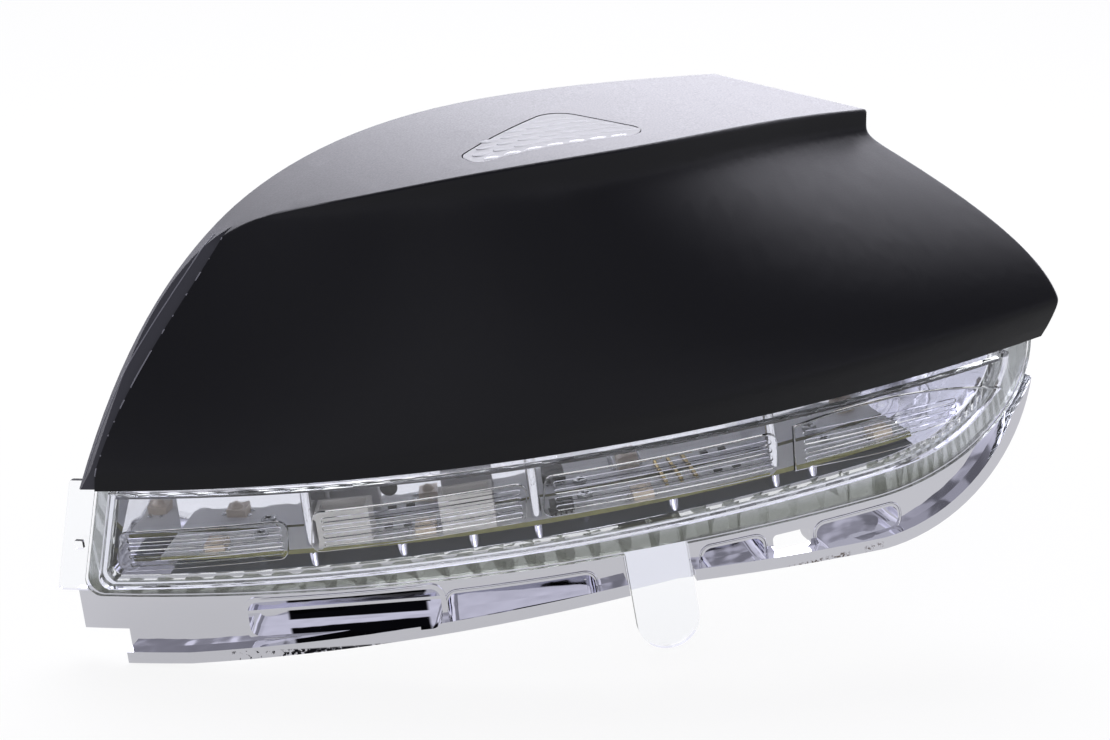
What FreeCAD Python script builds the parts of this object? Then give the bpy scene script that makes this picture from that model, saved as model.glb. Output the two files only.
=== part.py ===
# Lower cover of a car door mirror with its indicator lamp strip and puddle light.
# Frame: X runs along the lamp towards the car body, Y points back to the mirror glass.
# Z points up out of the panel that faces the road. The origin is midway between the two
# mounting screws. All sizes are in millimetres and all angles in degrees.
import FreeCAD, Part
import math
import os

V = FreeCAD.Vector

# Mounting screws
screw_spacing = 80.0
screw_hole_radius = 2.2
ear_width = 13.0
ear_thickness = 3.0
ear_depth_below_hole = 7.0
ear_face_y = 0.0

# Cover shell, overall
rim_y = 12.1
cover_wall = 2.4
rim_right_height = 11.2
crown_x = 20.0
crown_height = 14.4
shoulder_x = 28.6
shoulder_height = 9.7
corner_x = 60.4
corner_drop = 3.5
flank_x = 83.8
flank_drop = 26.1
left_end_x = 105.2
left_end_drop = 67.7
right_ridge_x = 93.5
right_ridge_y = 35.0
right_rim_x = 79.7
panel_slope = 1.0

# Cover shell, the front face below the ridge
ridge_bulge = 47.5
ridge_left_setback = 12.6
ridge_corner_setback = 24.2
corner_angle = 42.0
face_station_step = 3.1
face_stations = 21
step_height = 7.6
cove_size = 3.0
chin_overhang = 4.6
chin_height = 9.7
face_proud = 0.8
ridge_radius = 0.9
band_recess = 1.0
band_width = 6.8
band_slant = 2.5
rib_thickness = 1.6
rib_places = [-44.0, 46.0, 62.0]
rib_lift = 1.5
rim_arch_radius = 46.0

# Lamp strip: a curved band on a vertical axis, tilted with the cover's lower edge
strip_tilt = 8.0
strip_drop = 53.0
arc_centre_x = 114.5
arc_centre_y = 203.5
arc_radius = 290.5
arc_left_angle = 49.4

# Lamp lens
lens_wall = 1.8
lens_relief = 4.0
lens_top = 0.3
lens_height = 31.0
lens_foot_left = 3.4
lens_foot_right = 7.8
lens_left_place = 4.6
lens_lean = 0.287
lens_end_width = 46.5
end_centre_place = 199.0
lens_corner = 4.0
face_left_place = 9.4
face_corner = 3.0
face_edge_radius = 0.8
face_top = 1.8
face_bottom_left = lens_height - lens_foot_left
face_bottom_right = lens_height - lens_foot_right
face_end_width = 37.0
island_top_left = 9.6
island_top_right = 4.8
island_height = 10.8
island_spans = [(10.3, 53.0), (59.1, 110.7), (114.9, 172.0)]
island_drops = [island_top_left + 2.1, island_top_left - 1.4, island_top_right + 0.7]
island_rises = [1.9, 1.9, 0.4]
island_skew = 1.7
tip_start = 175.9
tip_turn = 204.0
tip_shoulder = 222.0
tip_end = 232.5
tip_point_drop = 5.0
island_relief = 1.0
island_corner = 2.4
island_edge_radius = 0.35
flute_count = 4
flute_depth = 0.7
flute_width = 1.2
tip_flute_reach = 17.0
tip_rise = 2.8
tongue_place = 139.8
tongue_width = 15.5
tongue_lean = 1.6
tongue_play = 0.5
tongue_bottom = 57.5
tab_reach = 7.4
tab_setback = 0.6
tab_foot = 1.2
hook_size = 2.2
hook_drop = 16.0

# Reflector housing behind and below the lens
glue_thickness = 0.8
glue_margin = 0.3
glue_gap = 0.6
tray_wall = 1.5
tray_depth = 17.5
tray_rear_y = 19.0
tray_top = 1.0
skirt_left_place = 5.2
skirt_left_drop = 48.6
skirt_middle_drop = 41.3
skirt_middle_place = 141.0
skirt_right_drop = 44.3
skirt_end_width = 46.5
stub_left_place = -6.6
stub_drop = 41.0
lip_width = 3.0
lip_relief = 3.0
pocket_depth = 4.5
pocket_corner = 2.5
rib_drop = 2.0
rib_height = 0.8
rib_setback = 0.6
through_from = 170.3
through_to = 180.0
through_top = 35.0
through_bottom = 39.8
pillar_width = 2.6
pillar_places = [55.5, 112.3, 173.8]
tray_front = lens_relief + lens_wall + glue_thickness
tray_back = tray_front + tray_depth
lug_places = [40.0, 125.0, 212.0]
lug_drop = 8.0
lug_width = 10.0
lug_thickness = 2.5
lug_setback = 18.0
lamp_screw_radius = 1.5
lamp_screw_length = 11.0
screw_head_radius = 3.0
screw_head_height = 2.0
boss_radius = 3.4

# Circuit board and what it carries
board_thickness = 1.2
board_lift = 11.2
board_drop = lens_height - board_lift
board_tilt = 1.45
board_from = 16.0
board_to = 210.0
board_front = 8.6
board_back_gap = 1.0
post_radius = 1.6
post_places = [(78.0, 12.0), (96.0, 12.0), (147.0, 12.0), (184.0, 12.0)]
led_places = [84.0, 139.0, 203.0]
side_led_place = 30.0
led_setback = 12.5
led_width = 5.0
led_height = 2.0
led_lens_radius = 1.7
block_width = 13.0
block_height = 9.0
block_depth = 7.0
block_wall = 1.0
block_floor = 2.0
block_setback = 13.0
side_block_place = 64.0
board_block_place = 95.0
chip_place = 118.5
chip_setback = 13.5
resistor_places = [74.0, 79.0, 160.0, 165.0]
resistor_setback = 16.5
board_screw_places = [(40.0, 18.0), (125.0, 18.0), (190.0, 18.0)]
board_screw_radius = 0.85
board_screw_length = 2.6
screw_play = 0.2

# Connector at the back of the tray
socket_place = 150.0
socket_width = 16.0
socket_height = 11.0
socket_length = 14.0
socket_wall = 1.4
pin_size = 0.8
pin_play = 0.15
pin_count = 3
breather_place = 75.0
breather_drop = 13.0
breather_radius = 2.1

# Puddle light in the panel that faces the road
puddle_left_x = 19.5
puddle_right_x = 29.8
puddle_front_y = 38.6
puddle_rear_y = 7.0
puddle_left_depth = 8.0
puddle_left_step = 6.0
puddle_peak_reach = 12.3
puddle_corners = [3.5, 7.0, 6.0, 3.5]
puddle_centre = V(7.5, -26.0, 0)
puddle_ears = [(-5.9, -11.6), (29.2, -20.4)]
puddle_gap = 0.35
puddle_flange = 2.2
puddle_flange_thickness = 1.2
puddle_seal = 0.9
puddle_wall = 1.6
puddle_floor = -11.0
puddle_ear_radius = 4.0
puddle_boss_z = 2.0
puddle_screw_length = 8.0
puddle_screw_play = 2.5
puddle_ear_thickness = 2.0
puddle_pin_length = 9.0
puddle_bowl_top = 6.5

seat_gap = 0.1
puddle_rim_drop = cover_wall + seat_gap + puddle_flange_thickness + puddle_seal
puddle_board_z = puddle_floor + puddle_wall + seat_gap


def save(name, shape):
    """Write one node; a node of many like pieces is a compound of solids."""
    solids = shape.Solids
    out = solids[0] if len(solids) == 1 else Part.makeCompound(solids)
    out.exportStep("parts/" + name + ".step")
    print(name, len(solids), round(out.Volume, 1), out.isValid())


def clean(shape):
    """Drop seams left by fusing and keep the solids only."""
    merged = shape.removeSplitter()
    solids = merged.Solids
    return solids[0] if len(solids) == 1 else Part.makeCompound(solids)


def biggest(shape):
    return max(shape.Solids, key=lambda solid: solid.Volume)


# Strip frame: local x along the lamp, local z square to the cover's lower edge
strip_frame = FreeCAD.Placement(V(0, 0, -strip_drop), FreeCAD.Rotation(V(0, 1, 0), -strip_tilt))
degrees_per_mm = 180.0 / (math.pi * arc_radius)


def angle_at(place):
    """Angle round the arc for a distance along the lamp from its left end."""
    return arc_left_angle - place * degrees_per_mm


def strip_point(radius, place, drop):
    """Point in the strip frame at a radius, a place along and a drop below the top edge."""
    angle = math.radians(angle_at(place))
    return V(arc_centre_x - radius * math.sin(angle), arc_centre_y - radius * math.cos(angle), -drop)


def front_x(place):
    """Strip frame x of a place on the lens face, as seen from the front."""
    return strip_point(arc_radius, place, 0).x


def in_world(shape):
    """Carry a shape from the strip frame into the part's own frame."""
    moved = shape.copy()
    moved.Placement = strip_frame.multiply(moved.Placement)
    return moved


def ring(inner, outer, top, bottom, left=-14.0, right=262.0):
    """Sector of a ring round the arc centre, given by setbacks from the lens radius."""
    corners = [(inner, top), (outer, top), (outer, bottom), (inner, bottom), (inner, top)]
    section = [strip_point(arc_radius - setback, left, drop) for setback, drop in corners]
    face = Part.Face(Part.makePolygon(section))
    axis = V(arc_centre_x, arc_centre_y, 0)
    return face.revolve(axis, V(0, 0, 1), (right - left) * degrees_per_mm)


def rounded(corners, radii):
    """Closed wire through corners (x, y, 0), each rounded by its own radius."""
    count = len(corners)
    edges = []
    ends = []
    for index, corner in enumerate(corners):
        back = (corners[index - 1] - corner).normalize()
        ahead = (corners[(index + 1) % count] - corner).normalize()
        half = math.acos(max(-1, min(1, back.dot(ahead)))) / 2
        cut = radii[index] / math.tan(half)
        centre = corner + (back + ahead).normalize() * (radii[index] / math.sin(half))
        middle = centre + (corner - centre).normalize() * radii[index]
        ends.append((corner + back * cut, middle, corner + ahead * cut))
    for index, (start, middle, end) in enumerate(ends):
        edges.append(Part.Arc(start, middle, end).toShape())
        edges.append(Part.makeLine(end, ends[(index + 1) % count][0]))
    return Part.Wire(edges)


def upright_frame(place):
    """Frame whose x runs along the lamp, y up and z inwards at a place on the arc."""
    angle = math.radians(angle_at(place))
    along = V(math.cos(angle), -math.sin(angle), 0)
    inward = V(math.sin(angle), math.cos(angle), 0)
    turn = FreeCAD.Rotation(along, V(0, 0, 1), along.cross(V(0, 0, 1)), "XYZ")
    return FreeCAD.Placement(strip_point(arc_radius, place, 0), turn), inward


def block_at(middle, outline, radii, setback_from, setback_to):
    """Block through the lamp, square to it at a place, on an outline of (place, drop) corners."""
    frame, inward = upright_frame(middle)
    corners = [V(place - middle, -drop, 0) for place, drop in outline]
    wire = rounded(corners, radii) if radii else Part.makePolygon(corners + corners[:1])
    face = Part.Face(wire)
    face.Placement = frame
    face.translate(inward * setback_from)
    return face.extrude(inward * (setback_to - setback_from))


def window(outline, radii, setback_from, setback_to):
    """Block through the lamp, square to it at the middle of its own outline."""
    middle = sum(place for place, drop in outline) / len(outline)
    return block_at(middle, outline, radii, setback_from, setback_to)


def front_block(outline):
    """Block through the whole lamp from an outline of (x, drop) seen from the front."""
    corners = [V(x, -150, -drop) for x, drop in outline]
    face = Part.Face(Part.makePolygon(corners + corners[:1]))
    return face.extrude(V(0, 400, 0))


def end_round(centre_place, end_width, bottom):
    """What is cut away so that the lamp's right end sweeps up as a quarter ellipse."""
    centre_x = front_x(centre_place)
    spread = V(end_width, 0, 0)
    fall = V(0, 0, -bottom)
    centre = V(centre_x, -150, 0)
    if end_width >= bottom:
        ellipse = Part.Ellipse(centre + spread, centre + fall, centre)
    else:
        ellipse = Part.Ellipse(centre + fall, centre + spread, centre)
    disc = Part.Face(Part.Wire(ellipse.toShape()))
    disc = disc.extrude(V(0, 400, 0))
    corner = Part.makeBox(end_width + 30, 400, bottom + 40, V(centre_x, -150, -bottom - 40))
    return corner.cut(disc)


def strip_edge_height(x):
    """Height of the cover's lower edge at a world x."""
    return -strip_drop + math.tan(math.radians(strip_tilt)) * x


def rim_profile_points(inset):
    """The rim seen from the front, from beyond its right end to beyond its lower left end."""
    outline = [
        V(right_ridge_x + 45.0, 0, rim_right_height - 1.8),
        V(right_rim_x, 0, rim_right_height + 0.8),
        V(crown_x, 0, crown_height),
        V(-shoulder_x, 0, shoulder_height),
        V(-corner_x, 0, -corner_drop),
        V(-flank_x, 0, -flank_drop),
        V(-left_end_x, 0, -left_end_drop),
        V(-left_end_x - 9.0, 0, -left_end_drop - 27.0),
    ]
    curve = Part.BSplineCurve()
    curve.interpolate(outline)
    if inset == 0:
        return outline, curve
    moved = []
    for spot in outline:
        tangent = curve.tangent(curve.parameter(spot))[0]
        normal = V(-tangent.z, 0, tangent.x)
        depth = inset(spot) if callable(inset) else inset
        moved.append(spot.add(normal.multiply(depth)))
    curve = Part.BSplineCurve()
    curve.interpolate(moved)
    return moved, curve


def panel_height(x, y):
    """Height of the road side panel at a world x and y."""
    curve = rim_profile_points(0)[1]
    upright = Part.LineSegment(V(x, 0, -200), V(x, 0, 200))
    return curve.intersect(upright)[0].Z + (y - rim_y) * math.tan(math.radians(panel_slope))


def rim_prism(inset, y_from, y_to):
    """Everything below the rim profile, as a prism along Y."""
    points, curve = rim_profile_points(inset)
    first, last = points[0], points[-1]
    floor = -left_end_drop - 90.0
    edges = [
        curve.toShape(),
        Part.makeLine(last, V(last.x, 0, floor)),
        Part.makeLine(V(last.x, 0, floor), V(first.x, 0, floor)),
        Part.makeLine(V(first.x, 0, floor), first),
    ]
    face = Part.Face(Part.Wire(edges))
    lean = math.tan(math.radians(panel_slope))
    face.translate(V(0, y_to, (y_to - rim_y) * lean))
    return face.extrude(V(0, y_from - y_to, (y_from - y_to) * lean))


def radial(radius, angle):
    """Plan point at a radius and angle round the lamp's arc centre."""
    turn = math.radians(angle)
    centre = strip_frame.multVec(V(arc_centre_x, arc_centre_y, 0))
    return V(centre.x - radius * math.sin(turn), centre.y - radius * math.cos(turn), 0)


def guide(points, angles):
    """Smooth curve through points that is read by lamp angle."""
    curve = Part.BSplineCurve()
    curve.interpolate(Points=points, Parameters=angles)
    return curve


def ridge_guide():
    """Plan line of the ridge, and past the corner the hidden start of the front face."""
    corner_radius = arc_radius - ridge_corner_setback
    points = [
        V(right_ridge_x + 15, -right_ridge_y + 1, 0),
        V(right_ridge_x, -right_ridge_y, 0),
        V(60, -right_ridge_y - 4.5, 0),
        V(15, -ridge_bulge, 0),
        radial(arc_radius - ridge_left_setback, 28.8),
        radial(arc_radius - ridge_left_setback - 2.5, 35.4),
        radial(corner_radius, corner_angle),
        radial(corner_radius, corner_angle + 8),
        radial(corner_radius, corner_angle + 16),
    ]
    angles = [-6.0, 1.0, 12.3, 21.2, 28.8, 35.4]
    return guide(points, angles + [corner_angle, corner_angle + 8, corner_angle + 16])


def blend(angle, keys):
    """Value read along straight runs between (angle, value) keys."""
    for (low, first), (high, second) in zip(keys, keys[1:]):
        if angle <= high:
            share = max(angle - low, 0) / (high - low)
            return first + (second - first) * share
    return keys[-1][1]


def offset_row(points, inset):
    """Move a row of (out, height) points inwards by a wall thickness."""
    moved = []
    for index, (out, height) in enumerate(points):
        before = points[max(index - 1, 0)]
        after = points[min(index + 1, len(points) - 1)]
        run = after[0] - before[0]
        fall = after[1] - before[1]
        length = math.hypot(run, fall)
        moved.append((out + inset * fall / length, height - inset * run / length))
    return moved


def face_row(angle, inset):
    """Control points of one upright section of the front face, from above the ridge down."""
    ridge = ridge_guide().value(angle)
    rises = [(1, step_height - 1), (21, step_height + 0.8), (29, 0.9 * step_height), (corner_angle, 0)]
    step = blend(angle, rises)
    chin = blend(angle, [(1, 1), (12, 0.8), (30, 0.2), (36, 0)])
    fullness = blend(angle, [(12, 1.75), (corner_angle, 1.35)])
    foot = radial(arc_radius + face_proud, angle)
    outward = foot - ridge
    reach = outward.Length
    outward.normalize()
    ridge_z = panel_height(max(ridge.x, corner_ridge().x), max(min(ridge.y, corner_ridge().y), -60))
    step = max(step, 0.3)
    step_z = ridge_z - step
    foot_z = strip_edge_height(foot.x)
    chin_z = foot_z + chin_height * (0.4 + 0.6 * chin)
    chin_out = reach + chin_overhang * chin
    cove = min(cove_size, 0.8 * step)
    row = [(0, ridge_z + 15), (0, ridge_z + 6), (0, ridge_z), (0, step_z + cove), (0.1, step_z)]
    for share in (0.1, 0.26, 0.44, 0.62, 0.8):
        out = chin_out * (1 - (1 - share) ** fullness)
        row.append((out, step_z - (step_z - chin_z) * share))
    row.append((chin_out, chin_z + 0.15 * chin_height))
    row.append((chin_out + 0.3 * chin, chin_z - 0.05 * chin_height))
    row.append((reach + 0.35 * chin_overhang * chin, foot_z + 0.22 * chin_height))
    row.append((reach, foot_z))
    row.append((reach - 0.5 * chin_overhang * chin, foot_z - 0.5 * chin_height))
    row.append((reach - chin_overhang * chin, foot_z - 2 * chin_height))
    if inset:
        row = offset_row(row, inset)
    return [ridge + outward * out + V(0, 0, height) for out, height in row]


def corner_ridge():
    return radial(arc_radius - ridge_corner_setback, corner_angle)


def even_knots(count, degree):
    """Knots and multiplicities of a clamped even spline."""
    inner = count - degree
    knots = [float(step) for step in range(inner + 1)]
    mults = [degree + 1] + [1] * (inner - 1) + [degree + 1]
    return knots, mults


def face_body(inset):
    """Solid behind the front face, deepened by an inset."""
    angles = [-6.0 + face_station_step * step for step in range(face_stations)]
    net = [face_row(angle, inset) for angle in angles]
    u_knots, u_mults = even_knots(len(net), 3)
    v_knots, v_mults = even_knots(len(net[0]), 3)
    surface = Part.BSplineSurface()
    surface.buildFromPolesMultsKnots(net, u_mults, v_mults, u_knots, v_knots, False, False, 3, 3)
    return surface.toShape().extrude(V(0, 170, 0))


def plan_block(outline, low, high):
    """Upright block on a plan outline between two world heights."""
    corners = [V(x, y, low) for x, y in outline]
    return Part.Face(Part.makePolygon(corners + corners[:1])).extrude(V(0, 0, high - low))


def cover_bounds():
    """What the slanted right end, the rim plane and the lamp's top plane leave."""
    lean = (right_ridge_x - right_rim_x) / (right_ridge_y + rim_y)
    far_x = right_ridge_x + (150 - right_ridge_y) * lean
    plan = [(right_rim_x, rim_y), (far_x, -150), (-200, -150), (-200, rim_y)]
    side = [V(x, -200, strip_edge_height(x)) for x in (-200, 200)] + [V(200, -200, 100), V(-200, -200, 100)]
    above = Part.Face(Part.makePolygon(side + side[:1])).extrude(V(0, 400, 0))
    return plan_block(plan, -200, 100).common(above)


def rim_band(body):
    """Set the cover back along its left rim, so that the front face stands proud."""
    def depth(spot):
        return band_recess * (-corner_drop - spot.z) / (left_end_drop - corner_drop)
    line = [(band_line(20), 20), (rim_y + 20, 20), (rim_y + 20, -150), (band_line(-150), -150)]
    side = [V(-200, y, z) for y, z in line]
    rear = Part.Face(Part.makePolygon(side + side[:1])).extrude(V(200 - corner_x, 0, 0))
    kept = rim_prism(depth, -120, rim_y + 25).common(face_body(band_recess))
    return body.cut(rear.cut(kept))


def band_line(z):
    """Y of the step between the rim band and the front face at a world height."""
    share = (-corner_drop - z) / (left_end_drop - corner_drop)
    return rim_y - band_width + band_slant * share


def radial_pin(place, drop, radius, setback_from, setback_to):
    """Cylinder lying along the arc's radius, in the strip frame."""
    inward = upright_frame(place)[1]
    start = strip_point(arc_radius - setback_from, place, drop)
    return Part.makeCylinder(radius, setback_to - setback_from, start, inward)


def cover_ribs(outer):
    """Arched stiffening webs across the inside of the cover."""
    webs = []
    for x in rib_places:
        slab = Part.makeBox(rib_thickness, rim_y - 6 + 150, 200, V(x, -150, strip_edge_height(x) + rib_lift))
        web = outer.common(slab)
        arch = Part.makeCylinder(rim_arch_radius, 10, V(x - 4, rim_y - 4, strip_edge_height(x)), V(1, 0, 0))
        webs.append(web.cut(arch))
    return webs


def mounting_ears(outer):
    """Two screw ears that hang from the panel, each with a gusset in front."""
    ears = []
    for side in (-1, 1):
        x = side * screw_spacing / 2
        low = -ear_depth_below_hole
        plate = Part.makeBox(ear_width, ear_thickness, 40, V(x - ear_width / 2, ear_face_y, 0))
        foot = Part.makeCylinder(ear_width / 2, ear_thickness, V(x, ear_face_y, 0), V(0, 1, 0))
        ear = plate.fuse(foot).common(Part.makeBox(200, 200, 60, V(-100, -100, low)))
        web = [V(x - rib_thickness / 2, ear_face_y, -2), V(x - rib_thickness / 2, ear_face_y - 12, 30)]
        web.append(V(x - rib_thickness / 2, ear_face_y, 30))
        gusset = Part.Face(Part.makePolygon(web + web[:1])).extrude(V(rib_thickness, 0, 0))
        hole = Part.makeCylinder(screw_hole_radius, 60, V(x, -30, 0), V(0, 1, 0))
        ears.append(ear.fuse(gusset).common(outer).cut(hole))
    return ears


def puddle_outline(grow):
    """Rounded outline of the puddle light in plan, grown or shrunk by a distance."""
    corners = [
        V(-puddle_left_x, -puddle_front_y + puddle_left_step + puddle_left_depth, 0),
        V(puddle_right_x - puddle_peak_reach, -puddle_rear_y, 0),
        V(puddle_right_x, -puddle_front_y, 0),
        V(-puddle_left_x, -puddle_front_y + puddle_left_step, 0),
    ]
    wire = rounded(corners, puddle_corners)
    return wire.makeOffset2D(grow) if grow else wire


def puddle_block(grow, low, high):
    face = Part.Face(puddle_outline(grow))
    face.translate(V(0, 0, low))
    return face.extrude(V(0, 0, high - low))


def panel_layer(upper, lower):
    """Layer that follows the panel between two depths below its outer face."""
    return rim_prism(upper, -60, 20).cut(rim_prism(lower, -61, 21))


def round_ridge(body):
    """Round the ridge and the two edges that meet it at the cover's right front corner."""
    corner = V(right_ridge_x, -right_ridge_y, panel_height(right_ridge_x, -right_ridge_y))
    nearest = min(body.Vertexes, key=lambda vertex: vertex.Point.distanceToPoint(corner)).Point

    def meets(edge):
        return any(end.Point.distanceToPoint(nearest) < 0.01 for end in edge.Vertexes)
    return body.makeFillet(ridge_radius, [edge for edge in body.Edges if meets(edge)])


def cover_shell():
    """Moulded cover: skin, ribs, ears and bosses, with the opening for the puddle light."""
    bounds = cover_bounds()
    outer = rim_band(bounds.common(face_body(0)).common(rim_prism(0, -120, rim_y + 25)))
    inner = rim_prism(cover_wall, -120, rim_y + 30).common(face_body(cover_wall))
    shell = outer.cut(inner)
    pieces = cover_ribs(outer) + mounting_ears(outer)
    holes = []
    for place in lug_places:
        boss = in_world(radial_pin(place, -lug_drop, boss_radius, -10, lug_setback - seat_gap))
        pieces.append(boss.common(outer))
        holes.append(in_world(radial_pin(place, -lug_drop, lamp_screw_radius, 6, lug_setback + 5)))
    for x, y in puddle_ears:
        boss = Part.makeCylinder(puddle_ear_radius - 1, 40, V(x, y, puddle_boss_z))
        pieces.append(boss.common(outer))
        holes.append(Part.makeCylinder(lamp_screw_radius, puddle_screw_length, V(x, y, puddle_boss_z - 1)))
    holes.append(puddle_block(0, 0, 40))
    for piece in pieces:
        shell = shell.fuse(piece)
    for hole in holes:
        shell = shell.cut(hole)
    return round_ridge(biggest(clean(shell)))


def leaning(place, drop):
    """Place on a line that leans like the lamp's left end and starts at a place on its top."""
    return place - lens_lean * drop


def left_of(place, shrink, bottom, corner):
    """What lies beyond a leaning left end whose lower corner is rounded."""
    edge = place + shrink
    far, near = edge - 80, edge + 25
    top, low = -40, 90
    whole = [(far, top), (near, top), (near, low), (far, low)]
    kept = [(leaning(edge, top), top), (near + 20, top), (near + 20, bottom), (leaning(edge, bottom), bottom)]
    inside = block_at(place, kept, [0.1, 0.1, 0.1, corner], -31, 71)
    return block_at(place, whole, None, -30, 70).cut(inside)


def face_form(setback_from, setback_to, shrink):
    """Outline of the lens's raised face between two setbacks, shrunk all round."""
    top = face_top + shrink
    bottom_left = face_bottom_left - shrink
    bottom_right = face_bottom_right - shrink
    end_x = front_x(end_centre_place)
    start_x = front_x(face_left_place - lens_lean * bottom_left)
    outline = [
        (-250, top),
        (150, top),
        (150, bottom_right),
        (end_x, bottom_right),
        (start_x, bottom_left),
        (-250, bottom_left),
    ]
    body = ring(setback_from, setback_to, top, face_bottom_left + 4).common(front_block(outline))
    body = body.cut(end_round(end_centre_place, face_end_width - shrink, bottom_right))
    return body.cut(left_of(face_left_place, shrink, bottom_left, face_corner))


def flange_form(setback_from, setback_to, shrink):
    """Outline of the lens's flange between two setbacks."""
    bottom = lens_height - shrink
    body = ring(setback_from, setback_to, lens_top + shrink, bottom)
    body = body.cut(end_round(end_centre_place, lens_end_width - shrink, bottom))
    return body.cut(left_of(lens_left_place, shrink, bottom, lens_corner))


def islands():
    """Corner places and drops of the first three fluted optics, left to right."""
    shapes = []
    for drop, rise, (start, end) in zip(island_drops, island_rises, island_spans):
        low = drop + island_height
        lower = [(end - 0.7 * island_skew, low - 1.5 * rise), (start - island_skew, low - 0.4)]
        shapes.append([(start, drop), (end, drop - rise)] + lower)
    return shapes


def flutes(outline):
    """Grooves that run along one fluted optic, each to be cut into its face."""
    (start, top), (end, top_end), (_, bottom_end), (_, bottom) = outline
    cuts = []
    margin = island_corner * 0.8
    half = flute_width / 2
    for step in range(flute_count):
        share = (step + 1) / (flute_count + 1)
        drop = top + (bottom - top) * share
        drop_end = top_end + (bottom_end - top_end) * share
        groove = [(start + margin, drop - half), (end - margin, drop_end - half)]
        groove += [(end - margin, drop_end + half), (start + margin, drop + half)]
        block = window(groove, [half - 0.05] * 4, -lens_relief, lens_wall)
        cuts.append(ring(-island_relief - 1, flute_depth - island_relief, -4, 34).common(block))
    return cuts


def tip_outline():
    """The lower and upper curves of the last optic, which ends in a point."""
    top = island_top_right
    low = top + island_height
    point = (tip_end, top + tip_point_drop)
    lower = [(tip_start - 0.6, low + 0.6), (tip_turn, low + 1.6), (tip_shoulder, low - 0.8), point]
    upper = [point, (tip_shoulder, top + 1.9), (tip_start, top)]
    return lower, upper


def tip_flute_outline():
    """The part of the last optic that its grooves run through."""
    (start, low), (turn, foot) = tip_outline()[0][:2]
    end = turn + tip_flute_reach
    return [(start + 1, island_top_right), (end, island_top_right + tip_rise), (end, foot - 2), (start, low)]


def curve_through(spots):
    curve = Part.BSplineCurve()
    curve.interpolate(spots)
    return curve.toShape()


def tip_block(setback_from, setback_to):
    """The last optic as a block through the lens."""
    middle = (tip_start + tip_end) / 2
    frame, inward = upright_frame(middle)
    lower, upper = [[V(place - middle, -drop, 0) for place, drop in row] for row in tip_outline()]
    wire = Part.Wire([Part.makeLine(upper[-1], lower[0]), curve_through(lower), curve_through(upper)])
    face = Part.Face(wire)
    face.Placement = frame
    face.translate(inward * setback_from)
    return face.extrude(inward * (setback_to - setback_from))


def tongue_block(grow):
    """Outline of the locating tongue below the lens, as a block through the lamp."""
    half = tongue_width / 2 + grow
    low = tongue_bottom + grow
    top = face_bottom_right + 1
    outline = [(tongue_place - half, top), (tongue_place + half, top)]
    outline += [(tongue_place + half + tongue_lean, low), (tongue_place - half + tongue_lean, low)]
    return window(outline, [0.5, 0.5, half - 0.1, half - 0.1], -5, 30)


def end_tab():
    """Flat tab past the lens's left end, with a small hook on its face."""
    top, low = lens_top, lens_height - tab_foot
    left, right = lens_left_place - tab_reach, lens_left_place + lens_corner
    outline = [(leaning(left, top), top), (leaning(right, top), top)]
    outline += [(leaning(right, low), low), (leaning(left, low), low)]
    back = lens_relief + lens_wall
    sheet = ring(lens_relief + tab_setback, back, top, low)
    tab = sheet.common(window(outline, [1.0, 0.1, 0.1, 1.0], 0, 3 * back))
    place = leaning(lens_left_place - tab_reach * 0.4, hook_drop)
    half = hook_size / 2
    hook = [(place - half, hook_drop), (place + half, hook_drop)]
    hook += [(place + half, hook_drop + hook_size), (place - half, hook_drop + hook_size)]
    return tab.fuse(window(hook, [0.3] * 4, lens_relief - 0.4, back))


def front_edges(shape, setback):
    """Edges of a lens form that lie wholly on its surface at one setback."""
    found = []
    for edge in shape.Edges:
        first, last = edge.FirstParameter, edge.LastParameter
        spots = [edge.valueAt(first + (last - first) * share) for share in (0, 0.25, 0.5, 0.75, 1)]
        reach = [math.hypot(spot.x - arc_centre_x, spot.y - arc_centre_y) for spot in spots]
        if all(abs(radius - arc_radius + setback) < 0.01 for radius in reach):
            found.append(edge)
    return found


def raised_face():
    """The lens's raised face with its front edge rounded."""
    body = face_form(0, lens_relief + lens_wall, 0)
    return body.makeFillet(face_edge_radius, front_edges(body, 0))


def optic_pad(outline_block):
    """One optic's thicker skin on the raised face, with its front edge rounded."""
    pad = ring(-island_relief, lens_wall / 3, -4, 34).common(outline_block)
    return pad.makeFillet(island_edge_radius, front_edges(pad, -island_relief))


def indicator_lens():
    """Clear moulding: flange, raised hollow face, fluted optics, locating tongue and end tab."""
    back = lens_relief + lens_wall
    lens = flange_form(lens_relief, back, 0).fuse(raised_face())
    lens = lens.cut(face_form(lens_wall, back + 1, lens_wall))
    lens = lens.fuse(ring(lens_relief, back, face_bottom_right, tongue_bottom + 2).common(tongue_block(0)))
    lens = lens.fuse(end_tab())
    blocks = [window(outline, [island_corner] * 4, -lens_relief, lens_wall) for outline in islands()]
    blocks.append(tip_block(-lens_relief, lens_wall))
    for block in blocks:
        lens = lens.fuse(optic_pad(block))
    for outline in islands() + [tip_flute_outline()]:
        for groove in flutes(outline):
            lens = lens.cut(groove)
    return biggest(lens)


def glue_bead():
    """Welded bead between the lens flange and the housing."""
    back = lens_relief + lens_wall
    bead = flange_form(back, back + glue_thickness, glue_margin)
    return biggest(bead.cut(face_form(back - 1, back + glue_thickness + 1, -glue_gap)))


def skirt_left(shrink):
    """What lies beyond the skirt's left end: the leaning lens edge, the stub and the step under it."""
    edge = lens_left_place + shrink
    stub = stub_left_place + shrink
    step = skirt_left_place + shrink
    joint = lens_height - 1
    far, top, low = edge - 80, -40, 90
    outline = [(far, top), (leaning(edge, top), top), (leaning(edge, joint), joint), (stub, joint)]
    outline += [(stub, stub_drop - shrink), (step, stub_drop - shrink), (step, low), (far, low)]
    return block_at(lens_left_place, outline, None, -30, 70)


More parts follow.
